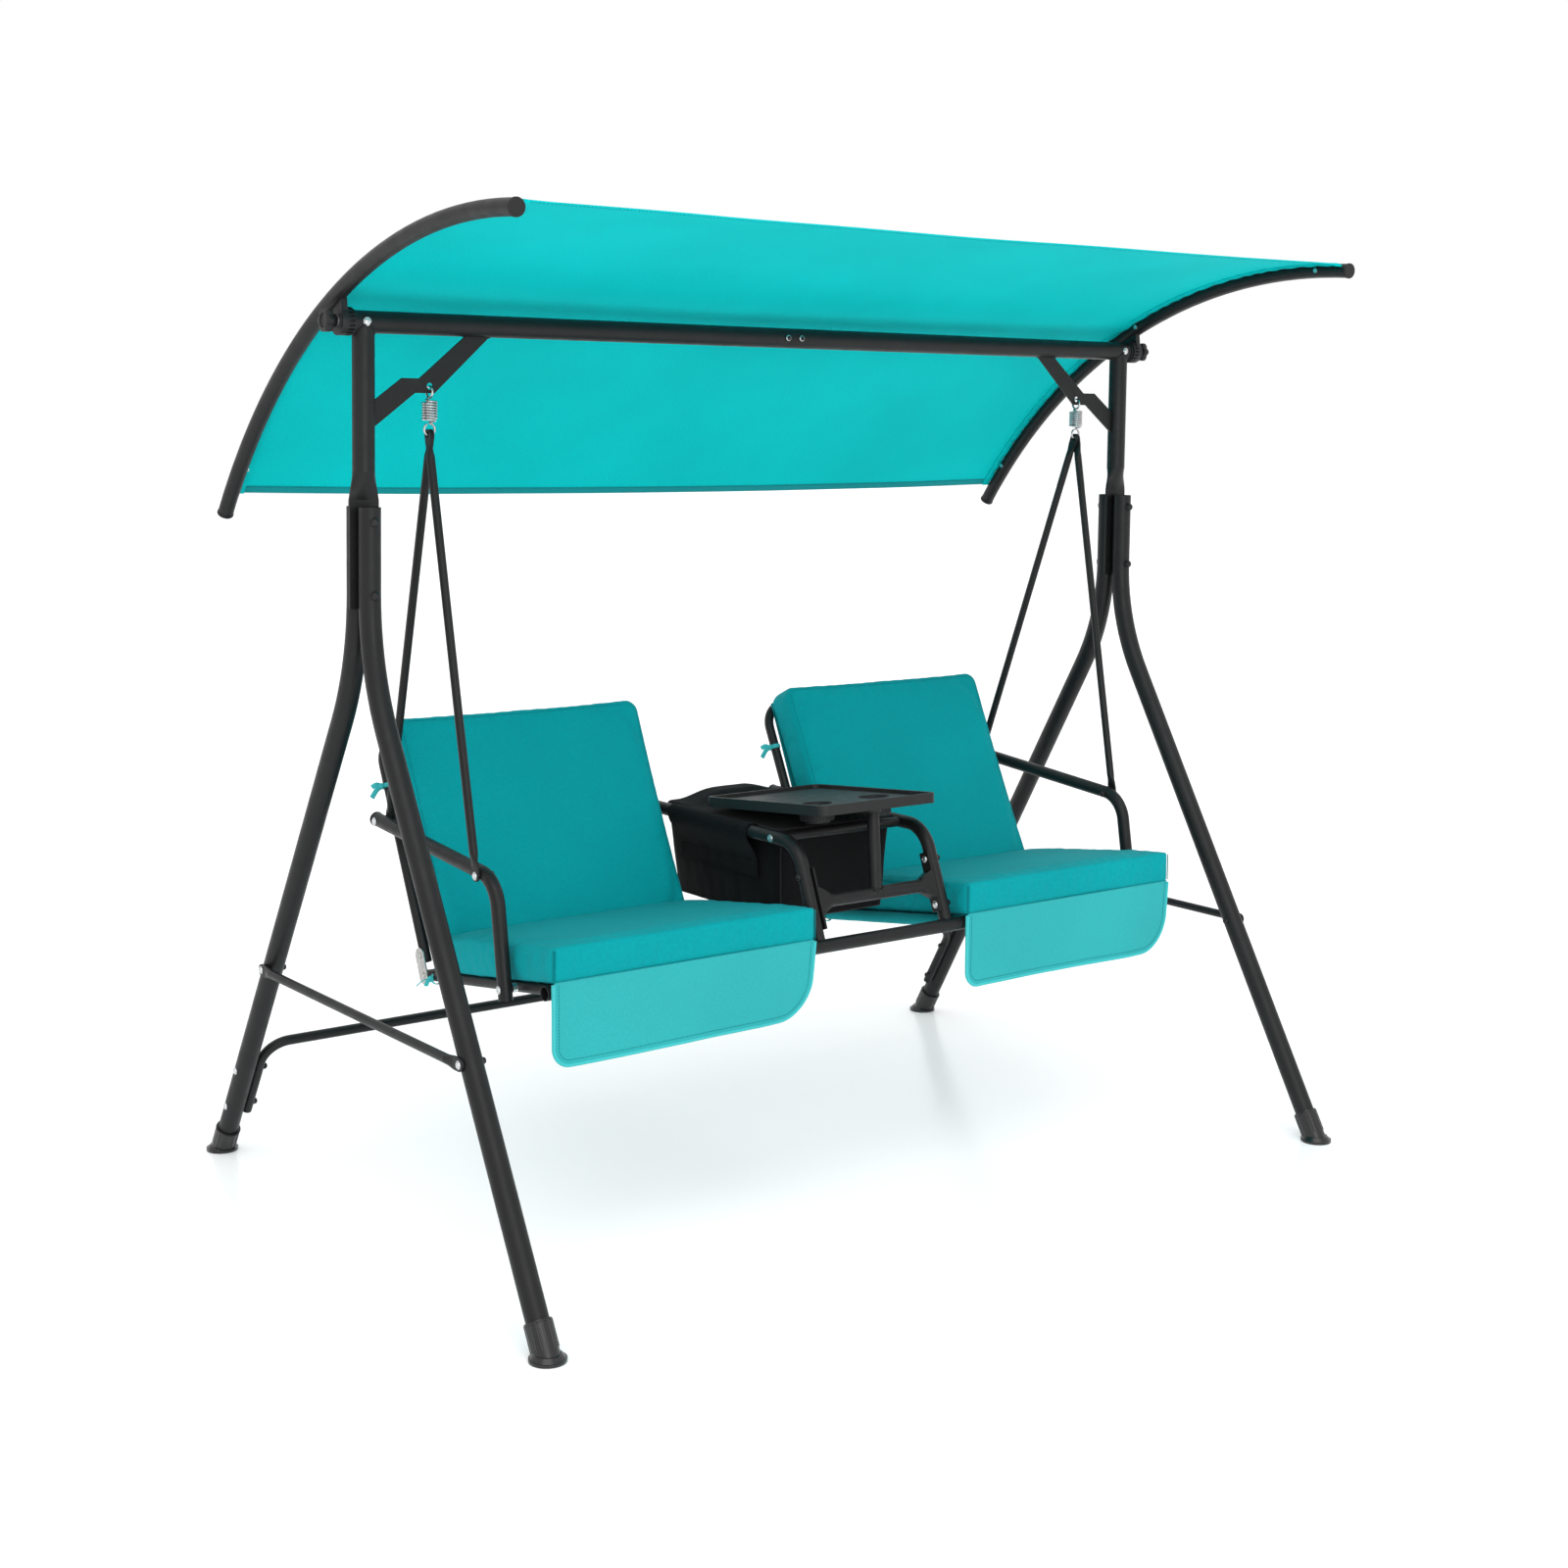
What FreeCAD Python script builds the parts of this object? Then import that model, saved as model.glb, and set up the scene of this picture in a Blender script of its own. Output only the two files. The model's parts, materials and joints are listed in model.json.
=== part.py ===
"""Two-seat glider swing with a tilting canopy, a swivel tray and a storage bag.

X runs along the crossbar (+X to the sitters' left), the sitters face -Y, and +Z is up.
The origin is on the floor, midway between the four feet. All sizes are in millimetres.
"""
import FreeCAD
import Part
import math
import os

V = FreeCAD.Vector

# ---- driving dimensions -------------------------------------------------------------
crossbar_z = 1580.0          # crossbar axis, which is also the canopy's tilt axis
post_x = 894.0               # posts and legs, from the middle
foot_y = 604.0               # feet, from the middle
swing_x = 770.0              # spring hooks, from the middle
swing_z = 1475.0             # swing axis: the holes in the gussets
hanger_z = 1392.0            # where the hanger rods meet the springs
frame_tube = 38.0            # legs, posts and crossbar
canopy_tube = 28.0
arm_tube = 25.0
seat_tube = 19.0
brace_tube = 16.0
rod_tube = 15.0
wall = 1.2

seat_slope = 0.148           # seat's fall per millimetre towards the back
seat_front_y = -337.5        # front of the seat pad
seat_front_z = 499.0         # underside of the pad there
cushion_t = 62.0
back_lean = math.radians(26.1)
back_foot = (55.0, 495.0)    # where the front of the back cushion meets the seat (y, z)
back_height = 420.0

outer_x = 745.0              # outer armrests
inner_x = 152.0              # inner armrests
side_x = 714.0               # outer side tubes of seat and back frames
middle_x = 176.0             # inner side tubes of seat and back frames
cushion_x = (180.0, 728.0)
back_cushion_x = (184.0, 711.0)

arc_y = -495.0               # centre of the canopy's arc
arc_z = 561.0
arc_r = 1173.0
arc_angles = (35.5, 93.9)    # rear end and front end, from +Y
canopy_x = 940.0

tray_tilt = math.radians(5.5)
tray_pivot = V(0, -275, 711)
tray_size = (276.0, 368.0)
tray_front = 26.0            # pivot to the tray's front edge
tray_depth = 19.0
post_r = 11.5                # tray's post
tray_up = V(0, math.sin(tray_tilt), math.cos(tray_tilt))

sling_x = (194.0, 696.0)
back_frame_up = 405.0        # top tube, up the slope of the back
skirt_t = 6.0
skirt_low_z = 362.0
bag_top_z = 664.0
bag_low_z = 488.0
bag_wall = 3.0

bolt_m8 = 4.0                # shank radii
bolt_m6 = 3.0
hole_play = 0.25

SIDES = (("left", -1), ("right", 1))
nodes = {}


# ---- general shapes -----------------------------------------------------------------
def rod(a, b, radius):
    """Solid cylinder from a to b."""
    return Part.makeCylinder(radius, (b - a).Length, a, b - a)


def rounded_path(points, radius):
    """Wire through points with each corner rounded to radius."""
    edges = []
    start = points[0]
    for before, corner, after in zip(points, points[1:], points[2:]):
        a = (before - corner).normalize()
        b = (after - corner).normalize()
        half = a.getAngle(b) / 2
        reach = radius / math.tan(half)
        middle = corner + (a + b).normalize() * (radius / math.sin(half) - radius)
        edges.append(Part.makeLine(start, corner + a * reach))
        edges.append(Part.Arc(corner + a * reach, middle, corner + b * reach).toShape())
        start = corner + b * reach
    edges.append(Part.makeLine(start, points[-1]))
    return Part.Wire(edges)


def swept(points, radius, bend):
    """Solid round bar along a rounded path."""
    path = rounded_path(points, bend)
    section = Part.Wire(Part.makeCircle(radius, points[0], points[1] - points[0]))
    return path.makePipeShell([section], True, False)


def tube(points, diameter, bend=0.0, thickness=wall):
    """Hollow round tube, straight between two points or bent at the ones between."""
    outer, inner = diameter / 2, diameter / 2 - thickness
    if len(points) == 2:
        return rod(points[0], points[1], outer).cut(rod(points[0], points[1], inner))
    return swept(points, outer, bend).cut(swept(points, inner, bend))


def slab(outline, x0, x1):
    """Outline of (y, z) points pulled along X."""
    points = [V(x0, y, z) for y, z in outline]
    return Part.Face(Part.makePolygon(points + points[:1])).extrude(V(x1 - x0, 0, 0))


def drill(shape, points, axis, radius, length=140.0):
    """Cut a round hole through shape at each point."""
    for point in points:
        start = point - axis * (length / 2)
        shape = shape.cut(Part.makeCylinder(radius + hole_play, length, start, axis))
    return shape


def bolt(head_at, nut_at, radius):
    """Round-headed bolt and cap nut clamping everything from head_at to nut_at."""
    along = (nut_at - head_at).normalize()
    head_r = radius * 1.9
    shank = rod(head_at, nut_at + along * radius, radius)
    head = Part.makeCylinder(head_r, radius * 0.9, head_at, along * -1)
    head = head.makeFillet(radius * 0.5, [head.Edges[0]])
    nut = Part.makeCylinder(head_r * 0.95, radius * 1.8, nut_at, along)
    nut = nut.makeFillet(radius * 0.8, [nut.Edges[0]])
    return shank.fuse([head, nut]).removeSplitter()


def washer(at, along, radius, thickness):
    ring = Part.makeCylinder(radius * 2.6, thickness, at, along)
    return ring.cut(Part.makeCylinder(radius + hole_play, thickness, at, along))


def flat_ended(a, b, diameter, flat_t, flat_w, hole_r, near_normal):
    """Round tube from a to b whose ends are pressed flat, rounded and pierced."""
    length = (b - a).Length
    squash = flat_w * 0.7
    taper = diameter * 1.6

    def end_flat():
        plate = Part.makeBox(flat_t, flat_w, squash, V(-flat_t / 2, -flat_w / 2, 0))
        nose = Part.makeCylinder(flat_w / 2, flat_t, V(-flat_t / 2, 0, 0), V(1, 0, 0))
        corners = [V(-flat_t / 2, -flat_w / 2, squash), V(flat_t / 2, -flat_w / 2, squash),
                   V(flat_t / 2, flat_w / 2, squash), V(-flat_t / 2, flat_w / 2, squash)]
        square = Part.makePolygon(corners + corners[:1])
        ring = Part.Wire(Part.makeCircle(diameter / 2, V(0, 0, squash + taper)))
        neck = Part.makeLoft([square, ring], True, True)
        hole = Part.makeCylinder(hole_r, flat_t * 3, V(-flat_t * 1.5, 0, 0), V(1, 0, 0))
        return plate.fuse([nose, neck]).cut(hole)

    near = end_flat()
    far = end_flat()
    far.rotate(V(0, 0, 0), V(1, 0, 0), 180)
    far.translate(V(0, 0, length))
    reach = squash + taper
    body = rod(V(0, 0, reach), V(0, 0, length - reach), diameter / 2)
    shape = body.fuse([near, far])
    shape = shape.cut(rod(V(0, 0, reach), V(0, 0, length - reach), diameter / 2 - wall))
    along = (b - a).normalize()
    across = (near_normal - along * near_normal.dot(along)).normalize()
    third = along.cross(across)
    turn = FreeCAD.Matrix(across.x, third.x, along.x, a.x,
                          across.y, third.y, along.y, a.y,
                          across.z, third.z, along.z, a.z,
                          0, 0, 0, 1)
    return placed(shape, turn)


def placed(shape, matrix):
    copy = shape.copy()
    copy.Placement = FreeCAD.Placement(matrix)
    return copy


# ---- stand: legs, feet, posts and gussets -------------------------------------------
leg_gap = 3.0                                # half the space for the post's flat end
leg_y = frame_tube / 2 + leg_gap             # leg axis above its bend
leg_bend_z = 1002.0
leg_top_z = 1271.0
leg_bend_r = 450.0
leg_end_z = 13.0
leg_run = (foot_y - leg_y) / leg_bend_z      # outward travel per millimetre down
leg_bolt_z = (1246.0, 1123.0)
brace_z = 405.0
stretcher_bolt_z = (184.0, 104.0)


def leg_axis_y(z):
    """Distance of a leg's axis from the middle, at height z below the bend."""
    return leg_y + (leg_bend_z - z) * leg_run


def leg(sx, sy):
    x = sx * post_x
    points = [V(x, sy * leg_axis_y(leg_end_z), leg_end_z), V(x, sy * leg_y, leg_bend_z),
              V(x, sy * leg_y, leg_top_z)]
    shape = tube(points, frame_tube, leg_bend_r)
    shape = drill(shape, [V(x, 0, z) for z in leg_bolt_z], V(0, 1, 0), bolt_m8)
    cross = [brace_z] if sy < 0 else [brace_z, *stretcher_bolt_z]
    return drill(shape, [V(x, sy * leg_axis_y(z), z) for z in cross], V(1, 0, 0), bolt_m6)


def foot(sx, sy):
    """Ribbed plastic boot on the end of a leg, with a round flange on the floor."""
    x = sx * post_x
    boot_r, flange_r, boot_top = frame_tube / 2 + 3, 30.0, 52.0
    low = V(x, sy * leg_axis_y(-30), -30)
    high = V(x, sy * leg_axis_y(boot_top), boot_top)
    at_end = V(x, sy * leg_axis_y(leg_end_z), leg_end_z)
    centre = V(x, sy * foot_y, 0)
    boot = rod(low, high, boot_r).cut(Part.makeBox(300, 300, 100, centre - V(150, 150, 100)))
    boot = boot.fuse(Part.makeCylinder(flange_r, 5, centre))
    boot = boot.fuse(Part.makeCone(flange_r - 2, boot_r, 7, centre + V(0, 0, 5)))
    return boot.cut(rod(at_end, high + (high - low), frame_tube / 2 + 0.1))


def post(sx):
    """Round post whose pressed-flat lower end sits between the two legs."""
    x = sx * post_x
    flat_low, flat_top, round_from = 1099.0, 1282.0, 1330.0
    half_w, half_t = 27.0, leg_gap - 0.2
    shape = rod(V(x, 0, round_from), V(x, 0, crossbar_z - 8), frame_tube / 2)
    corners = [V(x - half_w, -half_t, flat_top), V(x + half_w, -half_t, flat_top),
               V(x + half_w, half_t, flat_top), V(x - half_w, half_t, flat_top)]
    square = Part.makePolygon(corners + corners[:1])
    ring = Part.Wire(Part.makeCircle(frame_tube / 2, V(x, 0, round_from)))
    neck = Part.makeLoft([square, ring], True, True)
    plate = Part.makeBox(2 * half_w, 2 * half_t, flat_top - flat_low,
                         V(x - half_w, -half_t, flat_low))
    shape = shape.fuse([neck, plate])
    shape = shape.cut(rod(V(x, 0, round_from), V(x, 0, crossbar_z), frame_tube / 2 - wall))
    shape = shape.cut(rod(V(x - 60, 0, crossbar_z), V(x + 60, 0, crossbar_z), frame_tube / 2))
    return drill(shape, [V(x, 0, z) for z in leg_bolt_z], V(0, 1, 0), bolt_m8)


def gusset(sx):
    """Cranked flat bar between crossbar and post, pierced for the spring's hook."""
    crossbar_low = crossbar_z - frame_tube / 2
    outline = [(655, crossbar_low), (761, 1463), (798, 1463), (876, 1404), (876, 1449),
               (823, 1488), (790, 1488), (703, crossbar_low)]
    half_t = 2.0
    points = [V(sx * x, -half_t, z) for x, z in outline]
    bar = Part.Face(Part.makePolygon(points + points[:1])).extrude(V(0, 2 * half_t, 0))
    bar = bar.cut(rod(V(sx * post_x, 0, 1300), V(sx * post_x, 0, 1560), frame_tube / 2))
    return drill(bar, [V(sx * swing_x, 0, swing_z)], V(0, 1, 0), 6.0 - hole_play)


def leg_bolts():
    reach = leg_y + frame_tube / 2
    return [bolt(V(sx * post_x, reach, z), V(sx * post_x, -reach, z), bolt_m8)
            for _, sx in SIDES for z in leg_bolt_z]


for side, sx in SIDES:
    for end, sy in (("front", -1), ("rear", 1)):
        nodes[f"leg_{end}_{side}"] = leg(sx, sy)
        nodes[f"foot_{end}_{side}"] = foot(sx, sy)
    nodes[f"post_{side}"] = post(sx)
    nodes[f"gusset_{side}"] = gusset(sx)
nodes["leg_bolts"] = leg_bolts()


# ---- stand: braces and rear stretcher -----------------------------------------------
brace_x = post_x + frame_tube / 2 + 2.2
brace_y = leg_axis_y(brace_z)
stretcher_x = post_x - frame_tube / 2 - seat_tube / 2 - 0.2
stretcher_z = 235.0
stretcher_end_z = 86.0


def side_brace(sx):
    front, rear = V(sx * brace_x, -brace_y, brace_z), V(sx * brace_x, brace_y, brace_z)
    return flat_ended(front, rear, brace_tube, 4.0, 22.0, bolt_m6 + hole_play, V(1, 0, 0))


def rear_stretcher():
    low_y, high_y = leg_axis_y(stretcher_end_z), leg_axis_y(stretcher_z)
    points = [V(-stretcher_x, low_y, stretcher_end_z), V(-stretcher_x, high_y, stretcher_z),
              V(stretcher_x, high_y, stretcher_z), V(stretcher_x, low_y, stretcher_end_z)]
    holes = [V(sx * stretcher_x, leg_axis_y(z), z) for _, sx in SIDES for z in stretcher_bolt_z]
    return drill(tube(points, seat_tube, 48.0), holes, V(1, 0, 0), bolt_m6, 60.0)


def brace_bolts():
    bolts = []
    inside = post_x - frame_tube / 2
    outside = post_x + frame_tube / 2
    for _, sx in SIDES:
        for y in (-brace_y, brace_y):
            bolts.append(bolt(V(sx * (brace_x + 2.2), y, brace_z),
                              V(sx * inside, y, brace_z), bolt_m6))
        for z in stretcher_bolt_z:
            y = leg_axis_y(z)
            bolts.append(bolt(V(sx * outside, y, z),
                              V(sx * (stretcher_x - seat_tube / 2), y, z), bolt_m6))
    return bolts


for side, sx in SIDES:
    nodes[f"side_brace_{side}"] = side_brace(sx)
nodes["rear_stretcher"] = rear_stretcher()
nodes["brace_bolts"] = brace_bolts()


# ---- stand: crossbar, fixed hubs and clamp bolts ------------------------------------
crossbar_end = 914.0
joint_x = -40.0              # where the two halves meet
joint_bolt_x = (-16.0, 16.0)
hub_screw_x = 896.0
hub_face = 925.0             # face of the fixed hub, against the canopy's hub
hub_r = 24.0
hub_gap = 0.4
canopy_hub_end = 942.0
knob_start = 945.4
knob_end = 968.0


def on_axis(x):
    return V(x, 0, crossbar_z)


def crossbar_left():
    outer = tube([on_axis(-crossbar_end), on_axis(joint_x)], frame_tube, thickness=1.5)
    insert = tube([on_axis(joint_x - 20), on_axis(joint_x + 88)], frame_tube - 3.2)
    sleeve = tube([on_axis(joint_x - 20), on_axis(joint_x)], frame_tube - 2, thickness=1.0)
    shape = outer.fuse([insert, sleeve])
    return drill(shape, [on_axis(x) for x in (-hub_screw_x, *joint_bolt_x)], V(0, 1, 0), bolt_m6)


def crossbar_right():
    shape = tube([on_axis(joint_x + 0.3), on_axis(crossbar_end)], frame_tube, thickness=1.5)
    return drill(shape, [on_axis(x) for x in (*joint_bolt_x, hub_screw_x)], V(0, 1, 0), bolt_m6)


def fixed_hub(sx):
    """Plug in the crossbar's end with a toothed clamping disc."""
    plug = rod(on_axis(sx * (crossbar_end - 32)), on_axis(sx * crossbar_end), frame_tube / 2 - 1.6)
    collar = rod(on_axis(sx * crossbar_end), on_axis(sx * (crossbar_end + 5)), 21.0)
    disc = rod(on_axis(sx * (crossbar_end + 5)), on_axis(sx * hub_face), hub_r)
    shape = notched(plug.fuse([collar, disc]), sx * (hub_face - 2.5), 5.0)
    shape = drill(shape, [on_axis(sx * crossbar_end)], V(1, 0, 0), bolt_m8)
    return drill(shape, [on_axis(sx * hub_screw_x)], V(0, 1, 0), bolt_m6)


def notched(shape, x, depth):
    """Cut the ring of tooth gaps into a hub's rim around x."""
    teeth = 20
    for i in range(teeth):
        gap = Part.makeBox(depth, 3.6, 5.0, V(x - depth / 2, -1.8, crossbar_z + hub_r - 3.0))
        gap.rotate(on_axis(x), V(1, 0, 0), 360.0 * i / teeth)
        shape = shape.cut(gap)
    return shape


def clamp_hardware(sx):
    shank = rod(on_axis(sx * (crossbar_end - 10)), on_axis(sx * (knob_end - 9)), bolt_m8)
    ring = washer(on_axis(sx * (canopy_hub_end + 0.4)), V(sx, 0, 0), bolt_m8, 2.4)
    return [shank, ring]


def crossbar_bolts():
    r = frame_tube / 2
    return [bolt(V(x, -r, crossbar_z), V(x, r, crossbar_z), bolt_m6)
            for x in (-hub_screw_x, *joint_bolt_x, hub_screw_x)]


nodes["crossbar_left"] = crossbar_left()
nodes["crossbar_right"] = crossbar_right()
nodes["crossbar_bolts"] = crossbar_bolts()
nodes["fixed_hubs"] = [fixed_hub(sx) for _, sx in SIDES]
nodes["clamp_bolts"] = [piece for _, sx in SIDES for piece in clamp_hardware(sx)]


# ---- canopy -------------------------------------------------------------------------
def on_arc(x, degrees, radius=arc_r):
    a = math.radians(degrees)
    return V(x, arc_y + radius * math.cos(a), arc_z + radius * math.sin(a))


def arc_bar(x, radius, first, last):
    """Round bar bent to the canopy's arc between two angles."""
    tangent = on_arc(0, first + 90, 1) - on_arc(0, first + 270, 1)
    section = Part.Face(Part.Wire(Part.makeCircle(radius, on_arc(x, first), tangent)))
    return section.revolve(V(x, arc_y, arc_z), V(1, 0, 0), last - first)


screw_angles = (40.5, 66.0, 90.5)


def canopy_arm(sx):
    x = sx * canopy_x
    r = canopy_tube / 2
    shape = arc_bar(x, r, *arc_angles).cut(arc_bar(x, r - wall, *arc_angles))
    holes = [on_arc(x - sx * r, a) for a in screw_angles]
    return drill(shape, holes, V(1, 0, 0), 2.0, canopy_tube)


def arm_cap(sx, angle, way):
    """Plug in the end of a canopy arm, with a domed head over the tube."""
    x = sx * canopy_x
    at = on_arc(x, angle)
    out = (on_arc(0, angle + 90, 1) - on_arc(0, angle - 90, 1)).normalize() * way
    head = Part.makeCylinder(canopy_tube / 2 + 1, 5.0, at + out * 0.1, out)
    head = head.makeFillet(2.2, [head.Edges[0]])
    stem = Part.makeCylinder(canopy_tube / 2 - wall - 0.4, 12.0, at - out * 11.9, out)
    return head.fuse(stem)


def canopy_hub(sx):
    """Toothed disc with a web that carries the canopy arm."""
    near, far = sx * (hub_face + hub_gap), sx * canopy_hub_end
    disc = notched(rod(on_axis(near), on_axis(far), hub_r), near + sx * 2.5, 5.0)
    centre = V(0, arc_y, arc_z)
    up = (on_axis(0) - centre).normalize()
    along = V(1, 0, 0).cross(up)
    seat = centre + up * arc_r
    web_low, web_high = along * 20, along * 34
    corners = [on_axis(0) - web_low, seat - web_high, seat + web_high, on_axis(0) + web_low]
    web = slab([(c.y, c.z) for c in corners], near + sx * 5, far)
    arm = arc_bar(sx * canopy_x, canopy_tube / 2 + 0.1, 45, 80)
    above = arc_bar(sx * (canopy_x - 12), canopy_tube / 2 - 2, 45, 80)
    shape = disc.fuse(web).cut(arm).cut(above)
    shape = max(shape.Solids, key=lambda s: s.Volume)
    return shape.cut(rod(on_axis(near - sx), on_axis(far + sx), bolt_m8 + 0.06))


def canopy_fabric():
    """Cloth band between the arms, short of their ends."""
    edge_x = canopy_x - 11.0
    first, last = arc_angles[0] + 1.8, arc_angles[1] - 0.4
    low, high = arc_r + 11.0, arc_r + 13.4
    corners = [on_arc(-edge_x, first, low), on_arc(edge_x, first, low),
               on_arc(edge_x, first, high), on_arc(-edge_x, first, high)]
    section = Part.Face(Part.makePolygon(corners + corners[:1]))
    return section.revolve(V(0, arc_y, arc_z), V(1, 0, 0), last - first)


def canopy_screw(sx, angle):
    inner_face = on_arc(sx * (canopy_x - canopy_tube / 2), angle)
    head = Part.makeCylinder(4.5, 2.2, inner_face, V(-sx, 0, 0))
    return head.fuse(Part.makeCylinder(2.0, 9.0, inner_face, V(sx, 0, 0)))


def knob(sx):
    """Six-lobed clamping knob on the end of the clamp bolt."""
    neck = rod(on_axis(sx * knob_start), on_axis(sx * (knob_end - 14)), 12.0)
    head = rod(on_axis(sx * (knob_end - 14)), on_axis(sx * knob_end), 16.5)
    lobes, lobe_at, lobe_r = 6, 15.5, 5.5
    for i in range(lobes):
        a = 2 * math.pi * i / lobes
        centre = V(0, lobe_at * math.cos(a), lobe_at * math.sin(a))
        lobe = rod(on_axis(sx * (knob_end - 14)) + centre, on_axis(sx * (knob_end - 2)) + centre, lobe_r)
        head = head.fuse(lobe)
    shape = neck.fuse(head).removeSplitter()
    return shape.cut(rod(on_axis(sx * (knob_start - 1)), on_axis(sx * (knob_end - 8)), bolt_m8 + 0.06))


for side, sx in SIDES:
    nodes[f"canopy_arm_{side}"] = canopy_arm(sx)
    nodes[f"knob_{side}"] = knob(sx)
nodes["canopy_hubs"] = [canopy_hub(sx) for _, sx in SIDES]
nodes["canopy_arm_caps"] = [arm_cap(sx, angle, way) for _, sx in SIDES
                            for angle, way in zip(arc_angles, (-1, 1))]
nodes["canopy_fabric"] = canopy_fabric()
nodes["canopy_screws"] = [canopy_screw(sx, a) for _, sx in SIDES for a in screw_angles]


# ---- springs ------------------------------------------------------------------------
wire = 4.5
coil_r = 14.3
coils = 7
hook_r = 10.0


def spring(sx):
    """Close-wound extension spring with a full-round hook at each end."""
    x = sx * swing_x
    middle = (swing_z + hanger_z) / 2
    low = middle - coils * wire / 2
    mean_r = coil_r - wire / 2
    shape = Part.makeCylinder(mean_r + wire * 0.3, coils * wire, V(x, 0, low))
    shape = shape.cut(Part.makeCylinder(mean_r - wire * 0.3, coils * wire, V(x, 0, low)))
    for i in range(coils):
        shape = shape.fuse(Part.makeTorus(mean_r, wire / 2, V(x, 0, low + wire * (i + 0.5))))
    for z, normal, way in ((swing_z, V(1, 0, 0), 1), (hanger_z, V(0, 1, 0), -1)):
        ring = Part.makeTorus(hook_r, wire / 2, V(x, 0, z - way * hook_r), normal)
        bar_z = middle + way * (coils * wire / 2 - wire / 2)
        stem = rod(V(x, 0, bar_z), V(x, 0, z - way * 2 * hook_r), wire / 2)
        across = rod(V(x - mean_r, 0, bar_z), V(x + mean_r, 0, bar_z), wire / 2)
        shape = shape.fuse([ring, stem, across])
    return shape


for side, sx in SIDES:
    nodes[f"spring_{side}"] = spring(sx)


# ---- seat and back frames -----------------------------------------------------------
back_along = V(0, math.sin(back_lean), math.cos(back_lean))
back_behind = V(0, math.cos(back_lean), -math.sin(back_lean))
frame_behind = cushion_t + 3.0 + seat_tube / 2
rail_y = -322.0
seat_rear_y = 110.0


def pad_low(y):
    """Underside of the seat cushion at y."""
    return seat_front_z - seat_slope * (y - seat_front_y)


def side_tube_z(y):
    return pad_low(y) - seat_tube / 2 - 2.5


def on_back(x, up, behind=0.0):
    """Point on the back: up its slope from the crease, and behind the cushion's front."""
    return V(x, *back_foot) + back_along * up + back_behind * behind


rail_z = pad_low(rail_y) - arm_tube / 2 - 2.5
back_bolt_z = 686.0
back_bolt_up = (back_bolt_z - on_back(0, 0, frame_behind).z) / back_along.z
outer_rear = on_back(0, back_bolt_up, frame_behind)
inner_arm_z = 658.0
inner_bolt_up = (inner_arm_z - on_back(0, 0, frame_behind).z) / back_along.z
inner_rear = on_back(0, inner_bolt_up, frame_behind)
front_hanger = V(0, -146, 651)
outer_foot_bolt = V(0, -217, side_tube_z(-217))
hinge_seat = V(0, 104, side_tube_z(104))
hinge_back = on_back(0, -8, frame_behind)


def seat_frame(sx):
    """Two side tubes welded to the rear tube; the front rail joins both seats."""
    rear = V(0, seat_rear_y + 14, side_tube_z(seat_rear_y + 14))
    front = V(0, rail_y, side_tube_z(rail_y))
    rail = rod(V(-outer_x, rail_y, rail_z), V(outer_x, rail_y, rail_z), arm_tube / 2 + 0.1)
    rear_z = side_tube_z(seat_rear_y)
    shape = rod(V(sx * middle_x, seat_rear_y, rear_z), V(sx * side_x, seat_rear_y, rear_z),
                seat_tube / 2 - 0.2)
    for x in (side_x, middle_x):
        ends = [rear + V(sx * x, 0, 0), front + V(sx * x, 0, 0)]
        beyond = (ends[1] - ends[0]).normalize()
        shape = shape.fuse(rod(*ends, seat_tube / 2))
        shape = shape.cut(rod(ends[0] - beyond, ends[1] + beyond, seat_tube / 2 - wall))
    shape = max(shape.cut(rail).Solids, key=lambda s: s.Volume)
    holes = [outer_foot_bolt + V(sx * side_x, 0, 0)]
    holes += [hinge_seat + V(sx * x, 0, 0) for x in (side_x, middle_x)]
    return drill(shape, holes, V(1, 0, 0), bolt_m6, 40.0)


def back_frame(sx):
    foot_up = -20.0
    corners = [(side_x, foot_up), (side_x, back_frame_up), (middle_x, back_frame_up), (middle_x, foot_up)]
    points = [on_back(sx * x, up, frame_behind) for x, up in corners]
    shape = tube(points, seat_tube, 50.0)
    holes = [outer_rear + V(sx * side_x, 0, 0), inner_rear + V(sx * middle_x, 0, 0)]
    holes += [hinge_back + V(sx * x, 0, 0) for x in (side_x, middle_x)]
    return drill(shape, holes, V(1, 0, 0), bolt_m6, 40.0)


def hinge_plate(sx, x, way):
    """Plate on the frame's outer or inner side, with its two rivets."""
    hinge_t, hinge_r = 2.5, 15.0
    head_r, head_t = 6.0, 2.0
    face = sx * (x + way * (seat_tube / 2 + 0.2))
    out = V(sx * way, 0, 0)
    a, b = hinge_seat + V(face, 0, 0), hinge_back + V(face, 0, 0)
    along = (b - a).normalize()
    across = along.cross(V(1, 0, 0)) * hinge_r
    corners = [a + across, b + across, b - across, a - across]
    plate = Part.Face(Part.makePolygon(corners + corners[:1])).extrude(out * hinge_t)
    for point in (a, b):
        plate = plate.fuse(Part.makeCylinder(hinge_r, hinge_t, point, out))
    plate = drill(plate.removeSplitter(), [a, b], V(1, 0, 0), bolt_m6, 12.0)
    rivets = []
    for point in (a, b):
        outer_face = point + out * (hinge_t + 0.1)
        head = Part.makeCylinder(head_r, head_t, outer_face, out)
        shank = rod(outer_face, point - out * seat_tube, bolt_m6)
        rivets.append(head.makeFillet(0.9, [head.Edges[0]]).fuse(shank))
    return [plate, *rivets]


def front_rail():
    end_x = 732.0
    return tube([V(-end_x, rail_y, rail_z), V(end_x, rail_y, rail_z)], arm_tube)


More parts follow.
